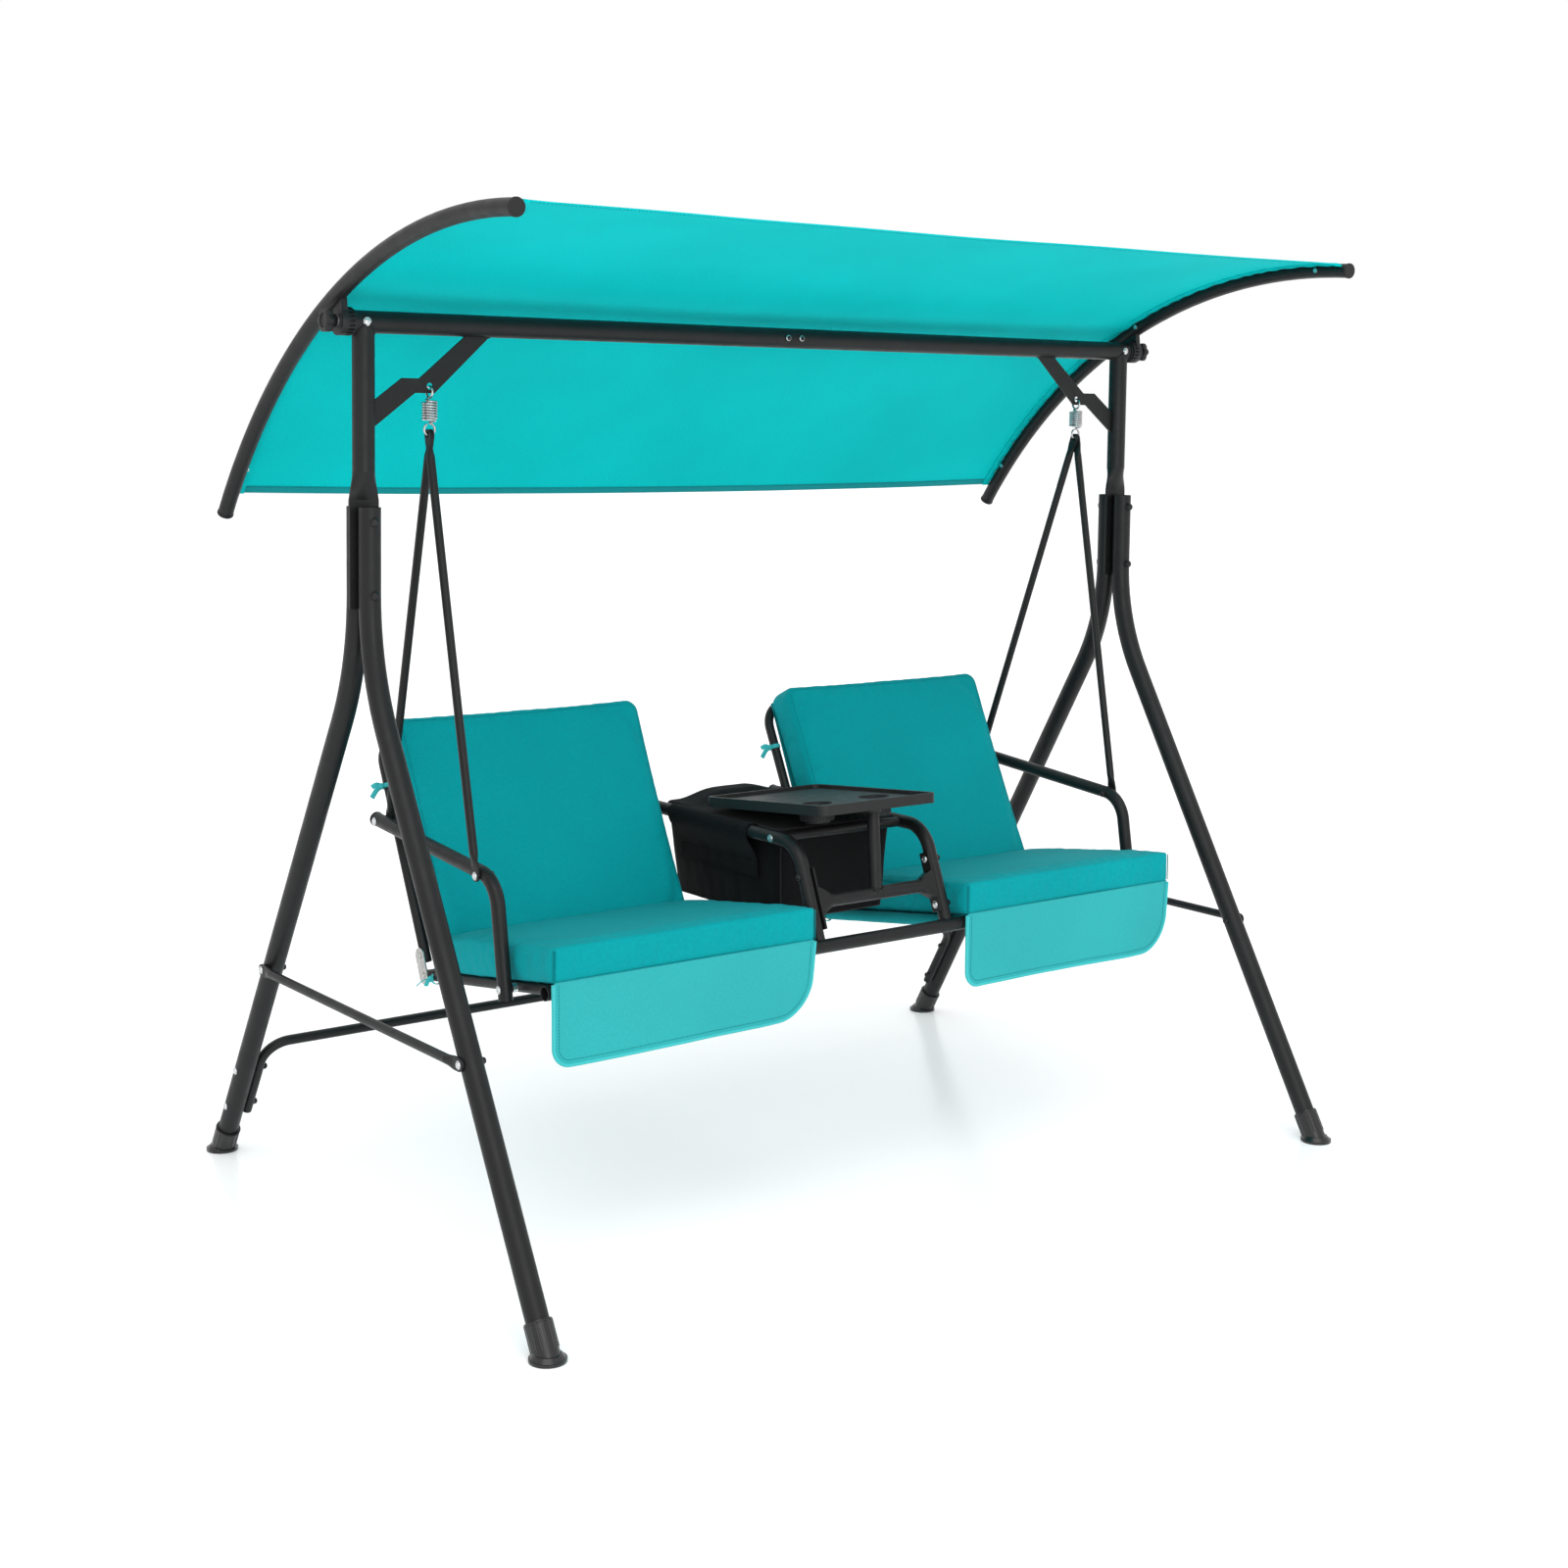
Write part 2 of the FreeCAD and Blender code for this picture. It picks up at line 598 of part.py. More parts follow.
for side, sx in SIDES:
    nodes[f"seat_frame_{side}"] = seat_frame(sx)
    nodes[f"back_frame_{side}"] = back_frame(sx)
nodes["front_rail"] = front_rail()
nodes["hinge_plates"] = [piece for _, sx in SIDES for x, way in ((side_x, 1), (middle_x, -1))
                         for piece in hinge_plate(sx, x, way)]


# ---- armrests, tray stand and bag bar -----------------------------------------------
armrest_overhang = 14.0
leg_stop_z = 494.0
inner_corner = V(0, -245, inner_arm_z)
inner_foot = V(0, -311, rail_z + arm_tube / 2)
stand_bolt_z = (600.0, 519.0)
stand_bar_z = 555.0
bag_bar_y = -180.0
plate_t = 4.0
plate_z = (612.0, 507.0)     # top and bottom of the stand's end plates
outer_corner = V(0, -186, 650)
outer_foot = V(0, -220, 450)
hanger_front_x = outer_x + arm_tube / 2 + 2.8
hanger_rear_x = outer_x - arm_tube / 2 - 4.0


def inner_leg_y(z):
    """Axis of an inner armrest's leg at height z."""
    part = (inner_corner.z - z) / (inner_corner.z - inner_foot.z)
    return inner_corner.y + (inner_foot.y - inner_corner.y) * part


def armrest_outer(sx):
    back = outer_rear + (outer_rear - outer_corner).normalize() * armrest_overhang
    x = V(sx * outer_x, 0, 0)
    shape = tube([back + x, outer_corner + x, outer_foot + x], arm_tube, 60.0)
    holes = [outer_rear + x, front_hanger + x, outer_foot_bolt + x]
    return drill(shape, holes, V(1, 0, 0), bolt_m6, 40.0)


def armrest_inner(sx):
    x = V(sx * inner_x, 0, 0)
    back = inner_rear + V(0, armrest_overhang, 0)
    shape = tube([back + x, inner_corner + x, inner_foot + V(0, -2, -6) + x], arm_tube, 65.0)
    shape = shape.cut(rod(V(-300, rail_y, rail_z), V(300, rail_y, rail_z), arm_tube / 2 + 0.1))
    shape = max(shape.Solids, key=lambda s: s.Volume)
    holes = [inner_rear + x, V(sx * inner_x, bag_bar_y, inner_arm_z)]
    holes += [V(sx * inner_x, inner_leg_y(z), z) for z in stand_bolt_z]
    return drill(shape, holes, V(1, 0, 0), bolt_m6, 40.0)


def armrest_cap(x, rear, along):
    """Plug in the rear end of an armrest."""
    at = rear + V(x, 0, 0) + along * (armrest_overhang + 0.1)
    head = Part.makeCylinder(arm_tube / 2 + 0.8, 4.0, at, along)
    head = head.makeFillet(2.0, [head.Edges[0]])
    return head.fuse(Part.makeCylinder(arm_tube / 2 - wall - 0.3, 8.0, at - along * 7.9, along))


def tray_stand():
    """Cross bar with pressed end plates, and the post that the tray turns on."""
    y = inner_leg_y(stand_bar_z)
    reach = inner_x - arm_tube / 2 - 0.2
    shape = rod(V(-105, y, stand_bar_z), V(105, y, stand_bar_z), arm_tube / 2)
    lean = (inner_corner - inner_foot).normalize()
    across = lean.cross(V(1, 0, 0)) * 12.0
    for _, sx in SIDES:
        ends = [V(sx * (reach - plate_t), inner_leg_y(z), z) for z in plate_z]
        corners = [ends[0] + across, ends[0] - across, ends[1] - across, ends[1] + across]
        plate = Part.Face(Part.makePolygon(corners + corners[:1])).extrude(V(sx * plate_t, 0, 0))
        middle = V(sx * (reach - plate_t), y, stand_bar_z)
        tall = lean * 26.0
        square = [middle + across + tall, middle - across + tall,
                  middle - across - tall, middle + across - tall]
        ring = Part.Wire(Part.makeCircle(arm_tube / 2, V(sx * 104.9, y, stand_bar_z), V(1, 0, 0)))
        flare = Part.makeLoft([ring, Part.makePolygon(square + square[:1])], True, True)
        shape = shape.fuse([plate, flare])
    top = tray_pivot - tray_up * 0.5
    foot_at = top - tray_up * ((tray_pivot.z - stand_bar_z) / tray_up.z)
    shape = shape.fuse(rod(foot_at, top, post_r))
    holes = [V(sx * reach, inner_leg_y(z), z) for _, sx in SIDES for z in stand_bolt_z]
    return drill(shape, holes, V(1, 0, 0), bolt_m6, 30.0)


def bag_bar():
    end = inner_x - arm_tube / 2 - 0.2
    shape = rod(V(-end, bag_bar_y, inner_arm_z), V(end, bag_bar_y, inner_arm_z), seat_tube / 2)
    return shape.cut(rod(V(-end, bag_bar_y, inner_arm_z), V(end, bag_bar_y, inner_arm_z), bolt_m6 + 0.2))


def seat_bolts():
    """Every bolt in the hanging seat, and the spacers that two of them run through."""
    pieces = []
    inside = side_x - seat_tube / 2
    outside = outer_x + arm_tube / 2
    for _, sx in SIDES:
        for point, head_x, nut_x in ((front_hanger, hanger_front_x + 2.4, outer_x - arm_tube / 2),
                                     (outer_rear, outside, inside), (outer_foot_bolt, outside, inside)):
            pieces.append(bolt(point + V(sx * head_x, 0, 0), point + V(sx * nut_x, 0, 0), bolt_m6))
        spacer = V(sx * (side_x + seat_tube / 2 + 0.1), outer_foot_bolt.y, outer_foot_bolt.z)
        pieces.append(washer(spacer, V(sx, 0, 0), bolt_m6, outer_x - arm_tube / 2 - abs(spacer.x) - 0.1))
        inner_face = inner_x - arm_tube / 2
        pieces.append(bolt(inner_rear + V(sx * inner_face, 0, 0),
                           inner_rear + V(sx * (middle_x + seat_tube / 2), 0, 0), bolt_m6))
        for z in stand_bolt_z:
            y = inner_leg_y(z)
            pieces.append(bolt(V(sx * (inner_face - plate_t - 0.2), y, z),
                               V(sx * (inner_x + arm_tube / 2), y, z), bolt_m6))
        head = V(sx * (inner_x + arm_tube / 2), bag_bar_y, inner_arm_z)
        cap = Part.makeCylinder(5.7, 2.7, head, V(sx, 0, 0))
        pieces.append(cap.fuse(rod(head, head - V(sx * 45, 0, 0), bolt_m6)))
    return pieces


caps = []
for side, sx in SIDES:
    nodes[f"armrest_outer_{side}"] = armrest_outer(sx)
    nodes[f"armrest_inner_{side}"] = armrest_inner(sx)
    outer_along = (outer_rear - outer_corner).normalize()
    caps.append(armrest_cap(sx * outer_x, outer_rear, outer_along))
    caps.append(armrest_cap(sx * inner_x, inner_rear, V(0, 1, 0)))
nodes["armrest_caps"] = caps
nodes["tray_stand"] = tray_stand()
nodes["bag_bar"] = bag_bar()
nodes["seat_bolts"] = seat_bolts()


# ---- hanger rods --------------------------------------------------------------------
def hanger(sx, low, low_x, top_x):
    return flat_ended(V(sx * top_x, 0, hanger_z), low + V(sx * low_x, 0, 0), rod_tube, 3.6, 20.0,
                      5.0, V(1, 0, 0))


for side, sx in SIDES:
    nodes[f"hanger_front_{side}"] = hanger(sx, front_hanger, hanger_front_x, swing_x + 2.6)
    nodes[f"hanger_rear_{side}"] = hanger(sx, outer_rear, hanger_rear_x, swing_x - 2.6)


# ---- tray ---------------------------------------------------------------------------
def tray():
    """Recessed plastic tray with two cup wells and a socket for its post."""
    width, length = tray_size
    floor_top, rim, corner_r = 12.0, 7.0, 18.0
    cup_r, cup_y, cup_x, cup_low, cup_wall = 29.0, 80.0, 68.0, -19.0, 2.5
    drains, drain_r, drain_ring_r = 5, 3.0, 15.0
    tray_box = Part.makeBox(width, length, tray_depth, V(-width / 2, -tray_front, 0))
    uprights = [e for e in tray_box.Edges if abs(e.tangentAt(0).z) > 0.9]
    shape = tray_box.makeFillet(corner_r, uprights)
    recess = Part.makeBox(width - 2 * rim, length - 2 * rim, tray_depth,
                          V(-width / 2 + rim, -tray_front + rim, floor_top))
    uprights = [e for e in recess.Edges if abs(e.tangentAt(0).z) > 0.9]
    shape = shape.cut(recess.makeFillet(corner_r - rim, uprights))
    under = Part.makeBox(width - 6, length - 6, floor_top - 3, V(-width / 2 + 3, -tray_front + 3, 0))
    uprights = [e for e in under.Edges if abs(e.tangentAt(0).z) > 0.9]
    shape = shape.cut(under.makeFillet(corner_r - 3, uprights))
    shape = shape.fuse(Part.makeCylinder(post_r + 4, floor_top + 6, V(0, 0, -6)))
    cups = [V(sx * cup_x, cup_y, cup_low) for _, sx in SIDES]
    for at in cups:
        shape = shape.fuse(Part.makeCylinder(cup_r + cup_wall, floor_top - cup_low, at))
    for at in cups:
        shape = shape.cut(Part.makeCylinder(cup_r, tray_depth - cup_low, at + V(0, 0, cup_wall)))
        for i in range(drains):
            a = 2 * math.pi * i / drains
            hole_at = at + V(drain_ring_r * math.cos(a), drain_ring_r * math.sin(a), -1)
            shape = shape.cut(Part.makeCylinder(drain_r, 2 * cup_wall, hole_at))
    shape = shape.cut(Part.makeCylinder(post_r + 0.06, 6.1, V(0, 0, -6.1)))
    shape.rotate(V(0, 0, 0), V(1, 0, 0), -math.degrees(tray_tilt))
    shape.translate(tray_pivot)
    return shape


nodes["tray"] = tray()


# ---- soft parts ---------------------------------------------------------------------
def x_span(sx, low, high):
    return sorted((sx * low, sx * high))


def seat_cushion(sx):
    """Pad with a skirt that hangs in front of the rail."""
    face_y = seat_front_y - skirt_t
    pad_rear = 28.0
    outline = [(face_y, pad_low(face_y) + cushion_t), (57, pad_low(57) + cushion_t),
               (pad_rear, pad_low(pad_rear)), (seat_front_y, pad_low(seat_front_y)),
               (seat_front_y, skirt_low_z), (face_y, skirt_low_z)]
    return slab(outline, *x_span(sx, *cushion_x))


def back_cushion(sx):
    low, high = -34.0, back_height
    corners = [on_back(0, low), on_back(0, high), on_back(0, high, cushion_t), on_back(0, low, cushion_t)]
    return slab([(c.y, c.z) for c in corners], *x_span(sx, *back_cushion_x))


def ribbon(points, half_t):
    """Closed (y, z) outline of a strip of cloth along points, with mitred corners."""
    above, below = [], []
    for i, (y, z) in enumerate(points):
        steps = [(points[j + 1][0] - points[j][0], points[j + 1][1] - points[j][1])
                 for j in (i - 1, i) if 0 <= j < len(points) - 1]
        normals = [(-dz / math.hypot(dy, dz), dy / math.hypot(dy, dz)) for dy, dz in steps]
        ny = sum(n[0] for n in normals)
        nz = sum(n[1] for n in normals)
        reach = half_t * len(normals) / (ny * ny + nz * nz)
        above.append((y + ny * reach, z + nz * reach))
        below.append((y - ny * reach, z - nz * reach))
    return above + below[::-1]


def sling(sx):
    """Cloth from the front rail, under the seat pad, up to the top of the back frame."""
    half_t = 0.8
    top = on_back(0, back_frame_up, cushion_t + 1.5)
    start = (rail_y, pad_low(rail_y) - 0.9)
    middle = [start, (-200, 468), (-60, 445), (100, 432.5), (top.y, top.z)]
    return slab(ribbon(middle, half_t), *x_span(sx, *sling_x))


def tapered_box(top, low, z_top, z_low):
    """Solid between two rectangles given as (half width, rear y, front y)."""
    wires = []
    for (half, y0, y1), z in ((low, z_low), (top, z_top)):
        corners = [V(-half, y0, z), V(half, y0, z), V(half, y1, z), V(-half, y1, z)]
        wires.append(Part.makePolygon(corners + corners[:1]))
    return Part.makeLoft(wires, True, True)


def bag():
    at_top, at_bottom = (134, -166, 200), (124, -158, 178)

    def inside(half, y0, y1):
        return half - bag_wall, y0 + bag_wall, y1 - bag_wall

    outer = tapered_box(at_top, at_bottom, bag_top_z, bag_low_z)
    inner = tapered_box(inside(*at_top), inside(*at_bottom), bag_top_z + 0.01, bag_low_z + bag_wall)
    return outer.cut(inner)


def bag_lid():
    low = bag_top_z + 0.3
    outline = [(-168, low), (202, low), (202, 676), (192, 690), (140, 690), (104, 668), (-168, 668)]
    return slab(outline, -136, 136)


for side, sx in SIDES:
    nodes[f"seat_cushion_{side}"] = seat_cushion(sx)
    nodes[f"back_cushion_{side}"] = back_cushion(sx)
    nodes[f"sling_{side}"] = sling(sx)
nodes["bag"] = bag()
nodes["bag_lid"] = bag_lid()


# ---- export -------------------------------------------------------------------------
os.makedirs("parts", exist_ok=True)
for name, shape in nodes.items():
    if isinstance(shape, list):
        shape = Part.makeCompound(shape)
    shape.exportStep(f"parts/{name}.step")
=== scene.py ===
"""Looks of the two-seat swing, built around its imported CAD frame.

Metres, with the CAD's axes: X along the crossbar, -Y to the front, +Z up.
"""
import json
import math

import bmesh
import bpy
import numpy as np
from mathutils import Matrix, Vector, noise


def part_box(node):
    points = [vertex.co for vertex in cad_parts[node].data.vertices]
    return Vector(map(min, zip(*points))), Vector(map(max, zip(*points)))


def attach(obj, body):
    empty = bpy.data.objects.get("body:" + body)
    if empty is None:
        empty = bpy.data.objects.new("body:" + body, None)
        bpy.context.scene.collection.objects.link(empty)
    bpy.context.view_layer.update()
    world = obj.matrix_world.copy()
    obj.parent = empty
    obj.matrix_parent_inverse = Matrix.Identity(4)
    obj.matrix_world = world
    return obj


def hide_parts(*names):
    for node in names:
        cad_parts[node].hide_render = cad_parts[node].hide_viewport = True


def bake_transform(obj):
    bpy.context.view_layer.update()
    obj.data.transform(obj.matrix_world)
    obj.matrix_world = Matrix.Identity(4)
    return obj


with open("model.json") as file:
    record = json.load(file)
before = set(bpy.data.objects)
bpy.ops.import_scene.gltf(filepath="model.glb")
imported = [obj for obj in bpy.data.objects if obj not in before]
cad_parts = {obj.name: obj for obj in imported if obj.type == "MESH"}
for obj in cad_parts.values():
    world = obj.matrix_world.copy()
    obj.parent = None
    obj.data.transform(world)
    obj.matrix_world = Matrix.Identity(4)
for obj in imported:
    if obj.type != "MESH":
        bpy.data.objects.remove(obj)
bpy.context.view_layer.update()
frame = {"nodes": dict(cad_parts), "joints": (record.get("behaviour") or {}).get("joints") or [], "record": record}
scene = bpy.context.scene
SIDES = (("left", -1), ("right", 1))
X, Y, Z = Vector((1, 0, 0)), Vector((0, 1, 0)), Vector((0, 0, 1))
joints = {j["name"]: j for j in frame["joints"]}

# ---- sizes shared with the CAD ------------------------------------------------------
seat_slope = 0.148                           # seat's fall per metre towards the back
back_lean = math.radians(26.1)
cushion_t = 0.062
arc_y, arc_z = -0.495, 0.561                 # centre of the canopy's arc
fabric_r = 1.1852
fabric_first, fabric_last = 37.3, 93.5       # degrees, rear hem and front hem
seat_tube_r = 0.0095
arm_r = 0.0125
post_r = 0.0115
tray_tilt = math.radians(5.5)
leg_run = 0.5808                             # outward travel of a leg per metre down


# ---- camera, light and floor --------------------------------------------------------
def make_camera():
    yaw, pitch, roll = (math.radians(a) for a in (-37.934, 4.778, 0.823))
    forward = Vector((-math.sin(yaw) * math.cos(pitch), math.cos(yaw) * math.cos(pitch), -math.sin(pitch)))
    level = Vector((math.cos(yaw), math.sin(yaw), 0))
    upright = level.cross(forward)
    right = level * math.cos(roll) + upright * math.sin(roll)
    up = upright * math.cos(roll) - level * math.sin(roll)
    data = bpy.data.cameras.new("camera")
    data.lens = 51.76
    data.shift_x, data.shift_y = -0.0167, -0.1176
    camera = bpy.data.objects.new("camera", data)
    camera.matrix_world = (Matrix.Translation((-2.630, -3.4523, 1.4419))
                           @ Matrix((right, up, -forward)).transposed().to_4x4())
    scene.collection.objects.link(camera)
    scene.camera = camera


def soft_light(name, at, aim, size, watts):
    data = bpy.data.lights.new(name, "AREA")
    data.shape, data.size, data.energy = "DISK", size, watts
    lamp = bpy.data.objects.new(name, data)
    lamp.location = at
    lamp.rotation_euler = (Vector(aim) - Vector(at)).to_track_quat("-Z", "Y").to_euler()
    scene.collection.objects.link(lamp)


def make_studio():
    """White surroundings, a wide soft sun from the front left, and a fill light."""
    world = bpy.data.worlds.new("studio")
    world.use_nodes = True
    background = world.node_tree.nodes["Background"]
    background.inputs["Color"].default_value = (1, 1, 1, 1)
    background.inputs["Strength"].default_value = 1.0
    scene.world = world
    sun = bpy.data.lights.new("sun", "SUN")
    sun.energy = 0.85
    sun.angle = math.radians(50)
    lamp = bpy.data.objects.new("sun", sun)
    lamp.rotation_euler = Vector((0.42, 0.62, -1)).to_track_quat("-Z", "Y").to_euler()
    scene.collection.objects.link(lamp)
    middle = (0, 0, 0.7)
    soft_light("fill", (-1.6, -5.2, 1.5), middle, 2.6, 45)
    scene.view_settings.view_transform = "Standard"


# ---- materials ----------------------------------------------------------------------
class Paint:
    """A Principled material whose pattern nodes are added one call at a time."""

    def __init__(self, name, colour, roughness, metallic=0.0, **sockets):
        self.material = bpy.data.materials.new(name)
        self.material.use_nodes = True
        self.nodes = self.material.node_tree.nodes
        self.links = self.material.node_tree.links
        self.surface = self.nodes["Principled BSDF"]
        self.bumped = None
        values = {"Base Color": (*colour, 1), "Roughness": roughness, "Metallic": metallic}
        values.update({key.replace("_", " "): value for key, value in sockets.items()})
        for key, value in values.items():
            self.surface.inputs[key].default_value = value

    def node(self, kind, inputs=None, **settings):
        made = self.nodes.new("ShaderNode" + kind)
        for key, value in settings.items():
            setattr(made, key, value)
        for key, value in (inputs or {}).items():
            if isinstance(value, bpy.types.NodeSocket):
                self.links.new(value, made.inputs[key])
            else:
                made.inputs[key].default_value = value
        return made

    def place(self):
        """Coordinates in metres, which stay with the object."""
        return self.node("TexCoord").outputs["Object"]

    def thread(self):
        """Coordinates in metres along the cloth's own threads."""
        return self.node("Attribute", attribute_name="weave").outputs["Vector"]

    def cloud(self, scale, detail=3.0, where=None, stretch=None):
        where = where or self.place()
        if stretch:
            where = self.node("Mapping", {"Vector": where, "Scale": stretch}).outputs["Vector"]
        made = self.node("TexNoise", {"Vector": where, "Scale": scale, "Detail": detail})
        return made.outputs["Fac"]

    def ramp(self, fac, low, high, first, last):
        """Value or colour going from low to high as fac goes from first to last."""
        return self.node("MapRange", {"Value": fac, "From Min": first, "From Max": last,
                                      "To Min": low, "To Max": high}).outputs["Result"]

    def tint(self, fac, low, high, first=0.3, last=0.7):
        """Base colour times low to high, by fac."""
        share = self.ramp(fac, low, high, first, last)
        base = self.surface.inputs["Base Color"]
        start = base.links[0].from_socket if base.is_linked else tuple(base.default_value)
        scaled = self.node("VectorMath", {0: start if base.is_linked else start[:3]}, operation="SCALE")
        self.links.new(share, scaled.inputs["Scale"])
        self.links.new(scaled.outputs["Vector"], base)
        return self

    def gloss(self, fac, low, high, first=0.3, last=0.7):
        self.links.new(self.ramp(fac, low, high, first, last), self.surface.inputs["Roughness"])
        return self

    def bump(self, height, distance, strength=1.0):
        inputs = {"Height": height, "Distance": distance, "Strength": strength}
        if self.bumped:
            inputs["Normal"] = self.bumped
        self.bumped = self.node("Bump", inputs).outputs["Normal"]
        self.links.new(self.bumped, self.surface.inputs["Normal"])
        return self

    def weave(self, pitch):
        """Height of a plain weave whose threads lie pitch apart."""
        wave_scale = math.pi / (10 * pitch)
        total = None
        for direction in ("X", "Y", "Z"):
            wave = self.node("TexWave", {"Vector": self.thread(), "Scale": wave_scale, "Distortion": 0.0},
                             wave_type="BANDS", bands_direction=direction).outputs["Fac"]
            total = wave if total is None else self.node("Math", {0: total, 1: wave}).outputs[0]
        return total


def painted_steel():
    paint = Paint("black_frame", (0.0085, 0.0085, 0.009), 0.42, Specular_IOR_Level=0.27)
    paint.tint(paint.cloud(9, 4), 0.86, 1.14).tint(paint.cloud(260, 2), 0.92, 1.10)
    paint.gloss(paint.cloud(34, 4), 0.36, 0.50)
    return paint.bump(paint.cloud(700, 2), 0.0002, 0.25).bump(paint.cloud(60, 2), 0.0004, 0.10).material


def zinc(name, colour, roughness):
    paint = Paint(name, colour, roughness, 1.0)
    paint.tint(paint.cloud(120, 4), 0.80, 1.12).tint(paint.cloud(900, 2), 0.92, 1.06)
    paint.gloss(paint.cloud(220, 3), roughness - 0.06, roughness + 0.14)
    return paint.bump(paint.cloud(1500, 2), 0.0001, 0.2).material


def plastic(name, colour, low, high, grain, specular=0.32):
    paint = Paint(name, colour, low, Specular_IOR_Level=specular)
    paint.tint(paint.cloud(14, 3), 0.88, 1.12)
    paint.gloss(paint.cloud(45, 3), low, high)
    paint.bump(paint.cloud(grain, 3), 0.0003, 0.35)
    return paint.material


def cloth(name, colour, pitch, sheen, heather=0.10, glow=0.0):
    paint = Paint(name, colour, 0.82, Specular_IOR_Level=0.10, Sheen_Weight=sheen, Sheen_Roughness=0.45)
    yarn = paint.cloud(1.0, 2, paint.thread(), (1 / pitch, 0.25 / pitch, 1 / pitch))
    weft = paint.cloud(1.0, 2, paint.thread(), (0.25 / pitch, 1 / pitch, 0.25 / pitch))
    paint.tint(yarn, 1 - heather, 1 + heather).tint(weft, 1 - heather, 1 + heather)
    paint.tint(paint.cloud(3.2, 3), 0.95, 1.05)
    paint.gloss(yarn, 0.74, 0.90)
    paint.bump(paint.weave(pitch), pitch * 0.14, 0.5).bump(paint.cloud(420, 2), 0.0003, 0.20)
    if glow:
        shining = paint.node("BsdfTranslucent", {"Normal": paint.bumped})
        paint.links.new(paint.surface.inputs["Base Color"].links[0].from_socket, shining.inputs["Color"])
        mixed = paint.node("MixShader", {"Fac": glow, 1: paint.surface.outputs[0], 2: shining.outputs[0]})
        paint.links.new(mixed.outputs[0], paint.nodes["Material Output"].inputs["Surface"])
    return paint.material


def floor_paint():
    paint = Paint("floor", (0.97, 0.97, 0.972), 0.22, Specular_IOR_Level=0.35,
                  Emission_Color=(1, 1, 1, 1), Emission_Strength=0.14)
    paint.gloss(paint.cloud(0.7, 2), 0.20, 0.24)
    return paint.material


TEAL = (0.0, 0.305, 0.335)
STEEL = painted_steel()
ZINC = zinc("zinc_fasteners", (0.66, 0.67, 0.68), 0.28)
SPRING = zinc("spring_wire", (0.50, 0.50, 0.51), 0.17)
PLATE = zinc("zinc_plate", (0.60, 0.60, 0.58), 0.36)
PLASTIC = plastic("black_plastic", (0.011, 0.011, 0.012), 0.42, 0.58, 900)
GLOSSY = plastic("glossy_plastic", (0.009, 0.009, 0.0095), 0.20, 0.30, 900, 0.5)
TRAY = plastic("tray_plastic", (0.013, 0.013, 0.0135), 0.44, 0.56, 1300, 0.30)
CANOPY = cloth("canopy_cloth", (0.0, 0.645, 0.655), 0.0016, 0.0, 0.05, glow=0.22)
CUSHION = cloth("cushion_cloth", TEAL, 0.0018, 0.02, 0.05)
# The skirt uses a lighter copy of the cushions' teal cloth: painted light, standing in for the front light that
# falls on the hanging flap.
SKIRT_PAINTED_LIT = cloth("skirt_cloth_painted_lit", (0.030, 0.385, 0.40), 0.0018, 0.05, 0.05)
TRIM = cloth("trim_cloth", (0.055, 0.49, 0.505), 0.0012, 0.06, 0.05)
SLING = cloth("sling_cloth", (0.0, 0.32, 0.345), 0.0018, 0.04, 0.05)
HEM = cloth("hem_cloth", (0.004, 0.27, 0.29), 0.0016, 0.04, 0.05)
THREAD = cloth("thread", (0.0, 0.17, 0.19), 0.0006, 0.05)
BAG = cloth("bag_cloth", (0.0058, 0.0058, 0.0064), 0.0014, 0.02, 0.16)
# Lighter than the bag cloth: partly the stitching's own lighter thread, partly a painted highlight for the light
# the rolled piping catches.
BAG_TRIM_AND_HIGHLIGHT = cloth("bag_trim_and_painted_highlight", (0.020, 0.020, 0.021), 0.0010, 0.05, 0.16)


